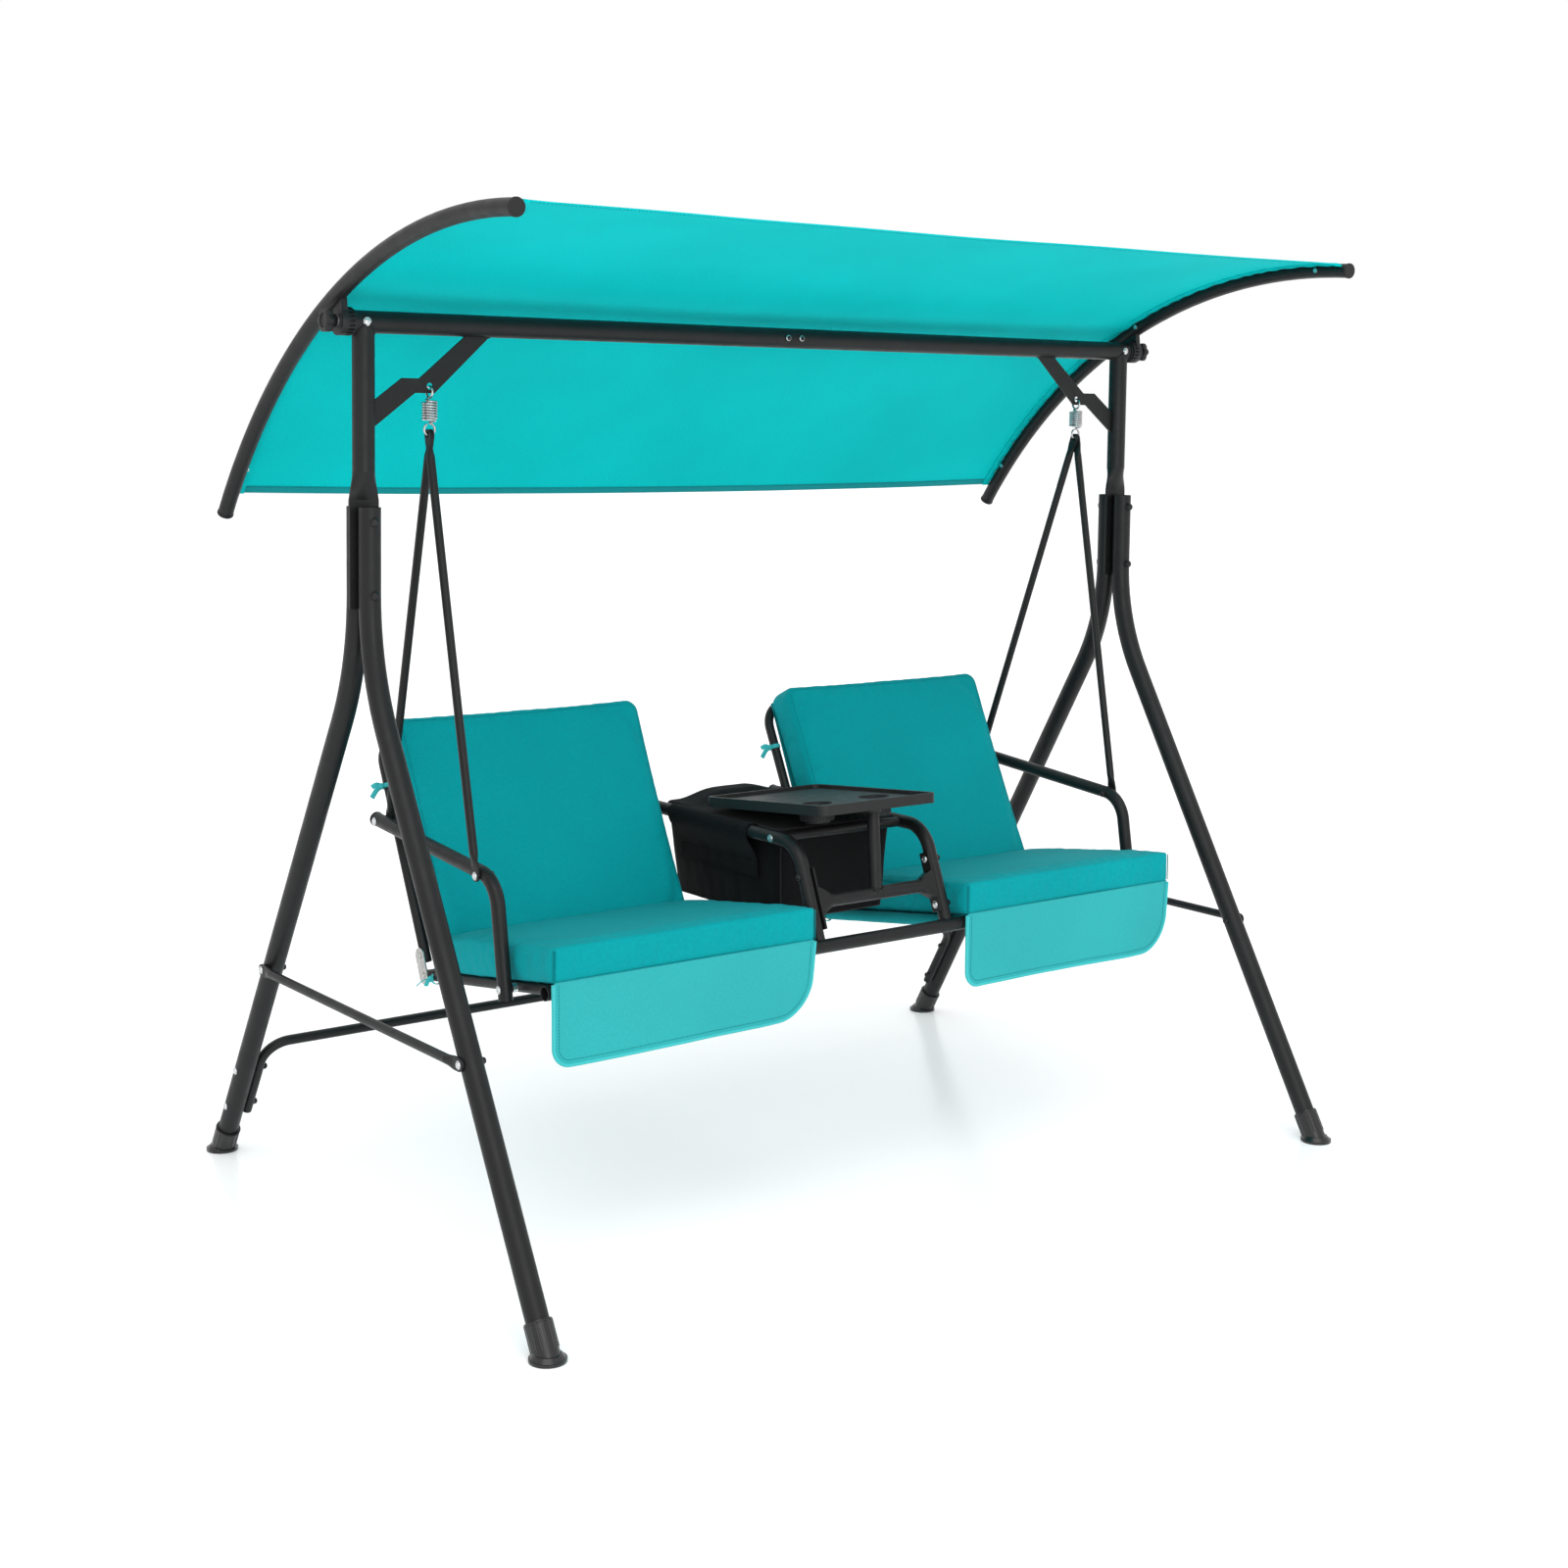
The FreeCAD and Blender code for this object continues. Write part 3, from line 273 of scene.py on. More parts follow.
# ---- mesh building ------------------------------------------------------------------
class Shape:
    """Vertices and faces of one piece, with each vertex's place along the cloth's threads."""

    def __init__(self):
        self.points = []
        self.threads = []
        self.faces = []

    def add(self, point, thread=None):
        self.points.append(Vector(point))
        self.threads.append(Vector(thread if thread is not None else point))
        return len(self.points) - 1

    def grid(self, rows, loop_rows=False, loop_columns=False):
        """Quads between rows of vertex numbers."""
        count, width = len(rows), len(rows[0])
        for i in range(count if loop_rows else count - 1):
            below, above = rows[i], rows[(i + 1) % count]
            for j in range(width if loop_columns else width - 1):
                k = (j + 1) % width
                self.faces.append((below[j], below[k], above[k], above[j]))

    def tube(self, path, radius, sides=12, closed=False, flat=1.0, across=None):
        """Round or flattened bar along path; radius is a number or one for each point."""
        path = [Vector(p) for p in path]
        count = len(path)
        radii = [radius] * count if isinstance(radius, (int, float)) else radius
        steps = []
        for i in range(count):
            before = path[i - 1] if closed or i else path[0]
            after = path[(i + 1) % count] if closed or i < count - 1 else path[-1]
            steps.append((after - before).normalized())
        side = across or (Z if abs(steps[0].z) < 0.9 else X)
        rows, gone = [], 0.0
        for i, (point, step) in enumerate(zip(path, steps)):
            side = (side - step * side.dot(step)).normalized()
            third = step.cross(side)
            gone += (point - path[i - 1]).length if i else 0.0
            row = []
            for j in range(sides):
                a = 2 * math.pi * j / sides
                out = side * math.cos(a) + third * (math.sin(a) * flat)
                row.append(self.add(point + out * radii[i], (a * radii[i], gone, 0)))
            rows.append(row)
        self.grid(rows, closed, True)
        if not closed:
            self.faces.append(tuple(reversed(rows[0])))
            self.faces.append(tuple(rows[-1]))
        return self

    def lathe(self, at, along, profile, sides):
        """Solid of revolution from (radius, distance) pairs, closed where the radius is 0."""
        along = along.normalized()
        side = along.orthogonal().normalized()
        third = along.cross(side)
        rows = []
        for radius, distance in profile:
            centre = at + along * distance
            if radius == 0:
                rows.append([self.add(centre)] * sides)
                continue
            angles = [2 * math.pi * j / sides for j in range(sides)]
            rows.append([self.add(centre + (side * math.cos(a) + third * math.sin(a)) * radius)
                         for a in angles])
        for below, above in zip(rows, rows[1:]):
            for j in range(sides):
                k = (j + 1) % sides
                corners = [below[j], below[k], above[k], above[j]]
                self.faces.append(tuple(dict.fromkeys(corners)))
        return self

    def sheet(self, place, width, length, thickness):
        """Closed cloth over place(i, j) -> (point, thread), for 0 <= i < length and 0 <= j < width."""
        tops = [[place(i, j) for j in range(width)] for i in range(length)]
        normals = []
        for i in range(length):
            row = []
            for j in range(width):
                along = tops[min(i + 1, length - 1)][j][0] - tops[max(i - 1, 0)][j][0]
                across = tops[i][min(j + 1, width - 1)][0] - tops[i][max(j - 1, 0)][0]
                row.append(across.cross(along).normalized())
            normals.append(row)
        layers = []
        for shift in (thickness / 2, -thickness / 2):
            layers.append([[self.add(tops[i][j][0] + normals[i][j] * shift, tops[i][j][1])
                            for j in range(width)] for i in range(length)])
        upper, lower = layers
        self.grid(upper)
        self.grid([list(reversed(row)) for row in lower])
        rim_upper, rim_lower = (self.rim(layer) for layer in layers)
        self.grid([rim_lower, rim_upper], loop_columns=True)
        return self

    @staticmethod
    def rim(layer):
        """Vertex numbers round a layer's edge."""
        around = list(layer[0])
        around += [row[-1] for row in layer[1:]]
        around += list(reversed(layer[-1][:-1]))
        around += [row[0] for row in reversed(layer[1:-1])]
        return around

    def build(self, name, paint, body, slot, replaces=(), smooth_angle=40, subdivide=0):
        mesh = bpy.data.meshes.new(name)
        mesh.from_pydata(self.points, [], self.faces)
        mesh.validate()
        threads = mesh.attributes.new("weave", "FLOAT_VECTOR", "POINT")
        threads.data.foreach_set("vector", [c for t in self.threads for c in t])
        mesh.materials.append(paint)
        obj = bpy.data.objects.new(name, mesh)
        scene.collection.objects.link(obj)
        finish_mesh(obj, smooth_angle, subdivide)
        if body:
            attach(obj, body)
        if replaces:
            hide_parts(*replaces)
        return obj


def finish_mesh(obj, smooth_angle, subdivide):
    """Outward faces, smooth shading with sharp creases, and a subdivision."""
    work = bmesh.new()
    work.from_mesh(obj.data)
    bmesh.ops.remove_doubles(work, verts=work.verts, dist=1e-6)
    bmesh.ops.recalc_face_normals(work, faces=work.faces)
    work.to_mesh(obj.data)
    work.free()
    obj.data.shade_smooth()
    obj.data.set_sharp_from_angle(angle=math.radians(smooth_angle))
    if subdivide:
        modifier = obj.modifiers.new("smooth", "SUBSURF")
        modifier.levels = modifier.render_levels = subdivide


def stitches(shape, path, pitch=0.0052, length=0.0034, radius=0.00055, lift=Vector()):
    """Short threads along path, lifted off the cloth."""
    path = [Vector(p) for p in path]
    gone = 0.0
    due = pitch / 2
    for a, b in zip(path, path[1:]):
        span = (b - a).length
        while span > 0 and due <= gone + span:
            middle = a.lerp(b, (due - gone) / span) + lift
            half = (b - a).normalized() * (length / 2)
            ends = [middle - half, middle - half * 0.6, middle + half * 0.6, middle + half]
            shape.tube(ends, [radius * 0.3, radius, radius, radius * 0.3], 6)
            due += pitch
        gone += span
    return shape


def circle(centre, first, second, radius, count):
    """Points round a circle, starting towards first."""
    angles = [2 * math.pi * i / count for i in range(count)]
    return [centre + (first * math.cos(a) + second * math.sin(a)) * radius for a in angles]


def spread(half, index, count):
    """Place number index of count even places from -half to half."""
    return half * (2 * index / (count - 1) - 1)


def wrinkle(point, scale, seed):
    """Smooth unevenness from -1 to 1."""
    return noise.noise(Vector(point) * scale + Vector((seed, seed * 1.7, seed * 0.3)))


def eased(t):
    t = min(max(t, 0.0), 1.0)
    return t * t * (3 - 2 * t)


def rounded(x, y, half_x, half_y, radii):
    """Square corners of a rectangle turned into round ones; radii by the signs of (x, y)."""
    radius = radii[(x > 0) + 2 * (y > 0)]
    dx, dy = abs(x) - (half_x - radius), abs(y) - (half_y - radius)
    if dx <= 0 or dy <= 0:
        return x, y
    share = max(dx, dy) / math.hypot(dx, dy)
    return (math.copysign(half_x - radius + dx * share, x),
            math.copysign(half_y - radius + dy * share, y))


# ---- cushions -----------------------------------------------------------------------
edge_r = 0.0065
pitch_of_grid = 0.008


class Pad:
    """Box cushion whose side is a four-cornered (y, z) profile: near-low, near-high, far-high, far-low."""

    def __init__(self, x_low, x_high, profile, corner_r, pull):
        self.middle = (x_low + x_high) / 2
        self.half_x = (x_high - x_low) / 2
        self.profile = [Vector((0, y, z)) for y, z in profile]
        self.half_v = (self.profile[2] - self.profile[1]).length / 2
        self.half_w = (self.profile[1] - self.profile[0]).length / 2
        self.corner_r = corner_r
        self.pull = pull

    def place(self, x, v, w):
        """Point for box coordinates measured from the pad's middle."""
        x, v = rounded(x, v, self.half_x, self.half_v, [self.corner_r] * 4)
        x *= 1 - self.pull / self.half_x * (1 - (v / self.half_v) ** 2)
        v *= 1 - self.pull / self.half_v * (1 - (x / self.half_x) ** 2)
        near_low, near_high, far_high, far_low = self.profile
        up = (w / self.half_w + 1) / 2
        along = (v / self.half_v + 1) / 2
        return near_low.lerp(near_high, up).lerp(far_low.lerp(far_high, up), along) + X * (self.middle + x)

    def surface(self):
        """The cover, and the numbers of the vertices on its seams."""
        shape, index, seams = Shape(), {}, []
        halves = (self.half_x, self.half_v, self.half_w)
        counts = [max(4, round(2 * h / pitch_of_grid)) for h in halves]

        def vertex(i, j, k):
            if (i, j, k) not in index:
                box = [(2 * n / count - 1) * h for n, count, h in zip((i, j, k), counts, halves)]
                inner = [min(max(b, edge_r - h), h - edge_r) for b, h in zip(box, halves)]
                out = Vector([b - c for b, c in zip(box, inner)])
                soft = [c + o for c, o in zip(inner, out.normalized() * edge_r)]
                index[i, j, k] = shape.add(self.place(*soft), box)
                on_edge = sum(n in (0, count) for n, count in zip((i, j, k), counts))
                if on_edge >= 2:
                    seams.append(index[i, j, k])
            return index[i, j, k]

        for axis in range(3):
            first, second = [a for a in range(3) if a != axis]
            for end in (0, counts[axis]):
                rows = []
                for a in range(counts[first] + 1):
                    row = []
                    for b in range(counts[second] + 1):
                        ijk = [0, 0, 0]
                        ijk[axis], ijk[first], ijk[second] = end, a, b
                        row.append(vertex(*ijk))
                    rows.append(row)
                shape.grid(rows)
        return shape, seams


def blow_up(covers, cap, pressure):
    """Cloth covers blown up against their pinned seams; no point moves more than cap."""
    steps = 20
    rests = []
    for obj, seams in covers:
        group = obj.vertex_groups.new(name="seams")
        group.add(seams, 1.0, "REPLACE")
        modifier = obj.modifiers.new("puff", "CLOTH")
        cover = modifier.settings
        cover.quality = 5
        cover.mass = 0.25
        cover.tension_stiffness = cover.compression_stiffness = 18
        cover.bending_stiffness = 0.4
        cover.shrink_min = -0.012
        cover.use_pressure = True
        cover.uniform_pressure_force = pressure
        cover.effector_weights.gravity = 0
        cover.vertex_group_mass = "seams"
        modifier.point_cache.frame_start, modifier.point_cache.frame_end = 1, steps
        rests.append(np.array([v.co for v in obj.data.vertices], float))
    for step in range(1, steps + 1):
        scene.frame_set(step)
    depsgraph = bpy.context.evaluated_depsgraph_get()
    results = []
    for (obj, _), rest in zip(covers, rests):
        puffed = obj.evaluated_get(depsgraph).data
        moved = np.array([v.co for v in puffed.vertices], float) - rest
        size = np.linalg.norm(moved, axis=1, keepdims=True)
        results.append(rest + moved * np.minimum(1.0, cap / np.maximum(size, 1e-9)))
    for (obj, _), points in zip(covers, results):
        obj.modifiers.remove(obj.modifiers["puff"])
        obj.data.vertices.foreach_set("co", points.astype(np.float32).ravel())
        obj.data.update()
    scene.frame_set(1)


def seat_pad(side):
    low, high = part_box(f"seat_cushion_{side}")
    front, rear = low.y + edge_r * 0.2, high.y
    top = high.z

    def under(y):
        return top - cushion_t - seat_slope * (y - low.y)

    rear_low = rear - cushion_t * math.tan(back_lean)
    profile = [(front, under(front)), (front, under(front) + cushion_t),
               (rear, under(rear) + cushion_t), (rear_low, under(rear_low))]
    return Pad(low.x, high.x, profile, 0.008, 0.002)


def back_pad(side):
    low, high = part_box(f"back_cushion_{side}")
    along = Vector((0, math.sin(back_lean), math.cos(back_lean)))
    behind = Vector((0, math.cos(back_lean), -math.sin(back_lean)))
    near_high = Vector((0, high.y - behind.y * cushion_t, high.z))
    length = (high.z - (low.z - behind.z * cushion_t)) / along.z
    near_low = near_high - along * length
    corners = [near_low + behind * cushion_t, near_low, near_high, near_high + behind * cushion_t]
    return Pad(low.x, high.x, [(c.y, c.z) for c in corners], 0.024, 0.003)


def make_cushions():
    covers, pads = [], {}
    for side, _ in SIDES:
        for kind, pad in (("seat", seat_pad(side)), ("back", back_pad(side))):
            shape, seams = pad.surface()
            name = f"{kind}_pad_{side}"
            obj = shape.build(name, CUSHION, None, "cushion_cloth", [f"{kind}_cushion_{side}"], 80)
            covers.append((obj, seams))
            pads[kind, side] = pad
    blow_up(covers, 0.0055, 2.4)
    for obj, _ in covers:
        crease_noise(obj)
        modifier = obj.modifiers.new("smooth", "SUBSURF")
        modifier.levels = modifier.render_levels = 1
        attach(obj, "hanging_seat")
    return pads


def crease_noise(obj):
    """Faint unevenness of a stuffed cover, across its normals."""
    mesh = obj.data
    for vertex in mesh.vertices:
        shift = wrinkle(vertex.co, 7, 3.1) * 0.0009 + wrinkle(vertex.co, 15, 8.4) * 0.0003
        vertex.co += vertex.normal * shift
    mesh.update()


def pad_trim(pads):
    """Stitched seams of the four cushions."""
    for (kind, side), pad in pads.items():
        shape = Shape()
        x, v, w = pad.half_x, pad.half_v, pad.half_w
        places, inset = 41, 0.0012
        if kind == "seat":
            levels = [-w + 2 * w * t / 12 for t in range(1, 12)]
            for end in (-1, 1):
                upright = [pad.place(end * (x - 0.004), -v + inset, level) for level in levels]
                stitches(shape, upright, lift=Y * -0.0012)
                shape.tube([pad.place(end * x, -v, level) for level in levels], 0.0011, 6)
            low = [pad.place(spread(x, t, places) * 0.985, -v, -w + 0.004) for t in range(places)]
            stitches(shape, low, lift=Y * -0.0016)
        else:
            front = (pad.profile[1] - pad.profile[0]).normalized()
            for end in (-1, 1):
                upright = [pad.place(end * (x - 0.0085), spread(v, t, places) * 0.96, w - 0.002)
                           for t in range(places)]
                stitches(shape, upright, lift=front * 0.0030)
            top = [pad.place(spread(x, t, places) * 0.95, v - 0.0085, w - 0.002)
                   for t in range(places)]
            stitches(shape, top, lift=front * 0.0030)
        shape.build(f"{kind}_stitches_{side}", THREAD, "hanging_seat", "cushion_cloth")


def make_skirts():
    """Flap that hangs from the pad's lower front edge, with a piped and stitched border."""
    thickness = 0.0042
    for side, sx in SIDES:
        low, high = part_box(f"seat_cushion_{side}")
        half_x = (high.x - low.x) / 2 - 0.002
        middle = (high.x + low.x) / 2
        top, bottom = high.z - cushion_t + 0.003, low.z
        half_z = (top - bottom) / 2
        radii = [0.030, 0.070, 0.005, 0.005]
        columns, rows = 111, 33

        def hang(x, z, out=0.0):
            x, z = rounded(x, z, half_x, half_z, radii)
            down = (half_z - z) / (2 * half_z)
            sway = 0.0055 * math.sin(x * 9.0 + 1.2 + sx) * down
            sway += 0.0016 * wrinkle((x, 0, z), 14, 5.0 + sx) * down
            tuck = 0.014 * eased((x / half_x - 0.55) / 0.45) * down
            y = low.y + 0.0036 + sway + tuck - out
            return Vector((middle + x, y, bottom + half_z + z))

        def place(i, j):
            x = spread(half_x, j, columns)
            z = half_z * (1 - 2 * i / (rows - 1))
            return hang(x, z), (x, z, 0)

        shape = Shape().sheet(place, columns, rows, thickness)
        # painted light: the flap gets the lighter copy of the cushion cloth, for the light on its front.
        flap = shape.build(f"seat_skirt_{side}", SKIRT_PAINTED_LIT, "hanging_seat", "cushion_cloth", (), 60, 1)
        border = skirt_border(half_x, half_z, 0.0)
        piping = Shape().tube([hang(x, z) for x, z in border], 0.0034, 10)
        pipe = piping.build(f"skirt_piping_{side}", TRIM, "hanging_seat", "cushion_cloth")
        inner = [hang(x, z, thickness / 2 + 0.0003) for x, z in skirt_border(half_x, half_z, 0.009)]
        seam = stitches(Shape(), inner)
        seam = seam.build(f"skirt_stitches_{side}", THREAD, "hanging_seat", "cushion_cloth")


def skirt_border(half_x, half_z, inset):
    """Points down one side, along the bottom and up the other, before the corners are rounded."""
    x, z = half_x - inset, half_z - inset
    steps = 60
    down = [(-x, half_z - 0.004 - (half_z + z - 0.004) * t / steps) for t in range(steps)]
    across = [(-x + 2 * x * t / (4 * steps), -z) for t in range(4 * steps)]
    up = [(x, -z + (half_z + z - 0.004) * t / steps) for t in range(steps + 1)]
    return down + across + up


# ---- canopy -------------------------------------------------------------------------
def on_arc(x, degrees, radius):
    a = math.radians(degrees)
    return Vector((x, arc_y + radius * math.cos(a), arc_z + radius * math.sin(a)))


def make_canopy():
    half_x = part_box("canopy_fabric")[1].x
    columns, rows = 187, 121
    span = math.radians(fabric_last - fabric_first) * fabric_r

    def cloth_at(x, share, out=0.0):
        """Point on the cloth; share is 0 at the rear hem and 1 at the front hem."""
        middle = 1 - (x / half_x) ** 2
        angle = fabric_first + (fabric_last - fabric_first) * share
        angle -= 0.45 * middle * (1 - eased(share / 0.5))
        sag = 0.0085 * middle * (0.55 + 0.45 * math.sin(math.pi * share))
        from_edge = half_x - abs(x)
        wave = math.sin(share * span / 0.0062 + 1.4 * math.sin(share * 31))
        ruffle = 0.0012 * math.exp(-from_edge / 0.022) * wave
        soft = 0.0016 * wrinkle((x * 0.6, share * 1.3, 0), 5.5, 2.0) * min(1.0, from_edge / 0.05)
        return on_arc(x, angle, fabric_r - sag + ruffle + soft + out)

    def place(i, j):
        x = spread(half_x, j, columns)
        share = i / (rows - 1)
        return cloth_at(x, share), (x, share * span, 0)

    shape = Shape().sheet(place, columns, rows, 0.0011)
    cover = shape.build("canopy_cloth", CANOPY, "canopy", "canopy_cloth", ["canopy_fabric"], 60)
    trims = [canopy_hem(cloth_at, "rear", 0.0, 0.016 / span, half_x, span),
             canopy_hem(cloth_at, "front", 1.0, -0.016 / span, half_x, span),
             *(canopy_binding(cloth_at, side, sx, half_x, span) for side, sx in SIDES)]


def canopy_hem(cloth_at, name, edge, width, half_x, span):
    """Cloth folded back along the front or rear edge and sewn down."""
    columns, rows = 187, 5
    shape = Shape()

    def place(i, j):
        x = spread(half_x, j, columns)
        share = edge + width * i / (rows - 1)
        return cloth_at(x, share), (x, share * span, 0)

    shape.sheet(place, columns, rows, 0.0026)
    line = [cloth_at(spread(half_x, t, columns) * 0.995, edge + width * 0.86, -0.0014)
            for t in range(columns)]
    paint = HEM if name == "rear" else CANOPY
    hem = shape.build(f"canopy_hem_{name}", paint, "canopy", "canopy_cloth")
    seam = stitches(Shape(), line, 0.007, 0.0045)
    seam.build(f"canopy_stitches_{name}", THREAD, "canopy", "canopy_cloth")
    return hem


def canopy_binding(cloth_at, side, sx, half_x, span):
    """Doubled border along an arm."""
    columns, rows = 4, 121

    def place(i, j):
        x = sx * (half_x - 0.018 * j / (columns - 1))
        share = i / (rows - 1)
        return cloth_at(x, share, -0.0015), (x, share * span, 0)

    return Shape().sheet(place, columns, rows, 0.005).build(
        f"canopy_binding_{side}", CANOPY, "canopy", "canopy_cloth")


# ---- slings -------------------------------------------------------------------------
def make_slings():
    """Cloth that carries each seat pad and backs each back cushion."""
    for side, sx in SIDES:
        low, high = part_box(f"sling_{side}")
        rail_low, rail_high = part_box("front_rail")
        half_x, middle = (high.x - low.x) / 2 + 0.006, (high.x + low.x) / 2
        rail_y = (rail_low.y + rail_high.y) / 2
        route = [(low.y, rail_high.z + 0.0012), (rail_y + 0.12, 0.4665), (-0.06, 0.4435),
                 (0.075, 0.4330), (0.112, 0.4450), (high.y, high.z)]
        line = smooth_line([Vector((0, y, z)) for y, z in route], 8)
        lengths = [0.0]
        for a, b in zip(line, line[1:]):
            lengths.append(lengths[-1] + (b - a).length)
        columns = 49

        def place(i, j):
            x = spread(half_x, j, columns)
            step = (line[min(i + 1, len(line) - 1)] - line[max(i - 1, 0)]).normalized()
            down = Vector((0, step.z, -step.y))
            seat_part = 1 - eased((lengths[i] / lengths[-1] - 0.42) / 0.2)
            ends = min(1.0, min(i, len(line) - 1 - i) / 6)
            belly = (0.013 * seat_part + 0.001) * (1 - (x / half_x) ** 2) * ends
            belly += 0.0012 * wrinkle((x, lengths[i], 0), 16, 4.0 + sx) * ends
            return line[i] + X * (middle + x) + down * belly, (x, lengths[i], 0)

        shape = Shape().sheet(place, columns, len(line), 0.0014)
        cover = shape.build(f"sling_cloth_{side}", SLING, "hanging_seat", "sling_cloth",
                            [f"sling_{side}"], 60)
        hems = Shape()
        for first in (0, columns - 3):
            hems.sheet(lambda i, j, first=first: place(i, first + 2 * j), 2, len(line), 0.0034)
        sling_pocket(hems, side)
        hem = hems.build(f"sling_hems_{side}", HEM, "hanging_seat", "sling_cloth")
        ties = make_ties(side)


def sling_pocket(shape, side):
    """Cloth sewn round the seat frame's tube that is nearer to the bag."""
    low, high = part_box(f"seat_frame_{side}")
    x = low.x + seat_tube_r if side == "right" else high.x - seat_tube_r
    front, rear = Vector((x, low.y, high.z - seat_tube_r)), Vector((x, high.y, low.z + seat_tube_r))
    line = [front.lerp(rear, t / 40) for t in range(4, 36)]
    radii = [seat_tube_r + 0.0016 + 0.0005 * wrinkle(point, 60, 1.0) for point in line]
    shape.tube(line, radii, 20)


def smooth_line(points, steps):
    """Even curve through points."""
    ends = [points[0] * 2 - points[1], *points, points[-1] * 2 - points[-2]]
    line = []
    for a, b, c, d in zip(ends, ends[1:], ends[2:], ends[3:]):
        for i in range(steps):
            t = i / steps
            line.append((b * 2 + (c - a) * t + (a * 2 - b * 5 + c * 4 - d) * t * t
                         + (b * 3 - a - c * 3 + d) * t ** 3) / 2)
    line.append(points[-1])
    return line


def make_ties(side):
    """Ribbons that tie the cushions to the back frame and to the seat frame."""
    shape = Shape()
    frame_low, frame_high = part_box(f"back_frame_{side}")
    seat_low, seat_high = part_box(f"seat_frame_{side}")
    ribbon_half, up_the_back = 0.0042, 0.333
    along = Vector((0, math.sin(back_lean), math.cos(back_lean)))
    foot = Vector((0, frame_low.y + seat_tube_r, frame_low.z + seat_tube_r * 0.5))
    knots = []
    for x, way in ((frame_low.x + seat_tube_r, -1), (frame_high.x - seat_tube_r, 1)):
        knots.append((foot + along * up_the_back + X * x, way, along))
        flat = Vector((0, 1, -seat_slope)).normalized()
        knots.append((Vector((x, seat_high.y - 0.050, seat_low.z + 0.013)), way, flat))
    for n, (centre, way, axis) in enumerate(knots):
        side_dir = X * way
        third = axis.cross(side_dir)
        ring = circle(centre, side_dir, third, seat_tube_r + 0.0012, 24)
        shape.tube(ring, ribbon_half, 8, True, 0.25, axis)
        knot = centre + side_dir * (seat_tube_r + 0.004)
        lump = [(0, 0), (0.004, 0.001), (0.006, 0.006), (0.004, 0.011), (0, 0.012)]
        shape.lathe(knot - axis * 0.006, axis, lump, 12)
        for tail in (-1, 1):
            reach = 0.020 + 0.006 * ((n + tail) % 3)
            end = knot + side_dir * reach * 0.7 + axis * (tail * 0.010) - Z * 0.010
            middle = knot.lerp(end, 0.5) + Z * 0.004
            shape.tube(smooth_line([knot, middle, end], 6), 0.0046, 8, False, 0.2, axis)
    return shape.build(f"ties_{side}", TRIM, "hanging_seat", "sling_cloth")


# ---- springs ------------------------------------------------------------------------
def make_springs():
    wire_r, coil_r, hook_r = 0.0020, 0.01205, 0.010
    turns, pitch = 7, 0.0045
    hook_turn, hook_steps = 328, 33
    for side, _ in SIDES:
        low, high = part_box(f"spring_{side}")
        x = (low.x + high.x) / 2
        top, bottom = high.z - wire_r, low.z + wire_r
        middle = (top + bottom) / 2
        coil_top = middle + turns * pitch / 2
        path = []
        for i in range(hook_steps + 1):
            a = math.radians(-58 + hook_turn * i / hook_steps)
            path.append(Vector((x, hook_r * math.cos(a), top - hook_r + hook_r * math.sin(a))))
        lead = 24
        drop = (top - 2 * hook_r) - coil_top
        for i in range(1, lead):
            t = i / lead
            a = -math.pi / 2 - math.pi * (1 - t)
            r = coil_r * eased(t)
            path.append(Vector((x + r * math.cos(a), r * math.sin(a), top - 2 * hook_r - drop * eased(t))))
        steps = turns * 28
        for i in range(steps + 1):
            a = -math.pi / 2 + 2 * math.pi * turns * i / steps
            path.append(Vector((x + coil_r * math.cos(a), coil_r * math.sin(a),
                                coil_top - pitch * turns * i / steps)))
        low_coil = coil_top - pitch * turns
        for i in range(1, lead):
            t = i / lead
            a = -math.pi / 2 + math.pi * t
            r = coil_r * (1 - eased(t))
            path.append(Vector((x + r * math.cos(a), r * math.sin(a),
                                low_coil + (bottom + 2 * hook_r - low_coil) * eased(t))))
        for i in range(hook_steps + 1):
            a = math.radians(90 - hook_turn * i / hook_steps)
            path.append(Vector((x + hook_r * math.cos(a), 0, bottom + hook_r + hook_r * math.sin(a))))
        coil = Shape().tube(path, wire_r, 12).build(f"spring_wire_{side}", SPRING, None, "spring_wire",
                                                    [f"spring_{side}"])
        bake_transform(coil)


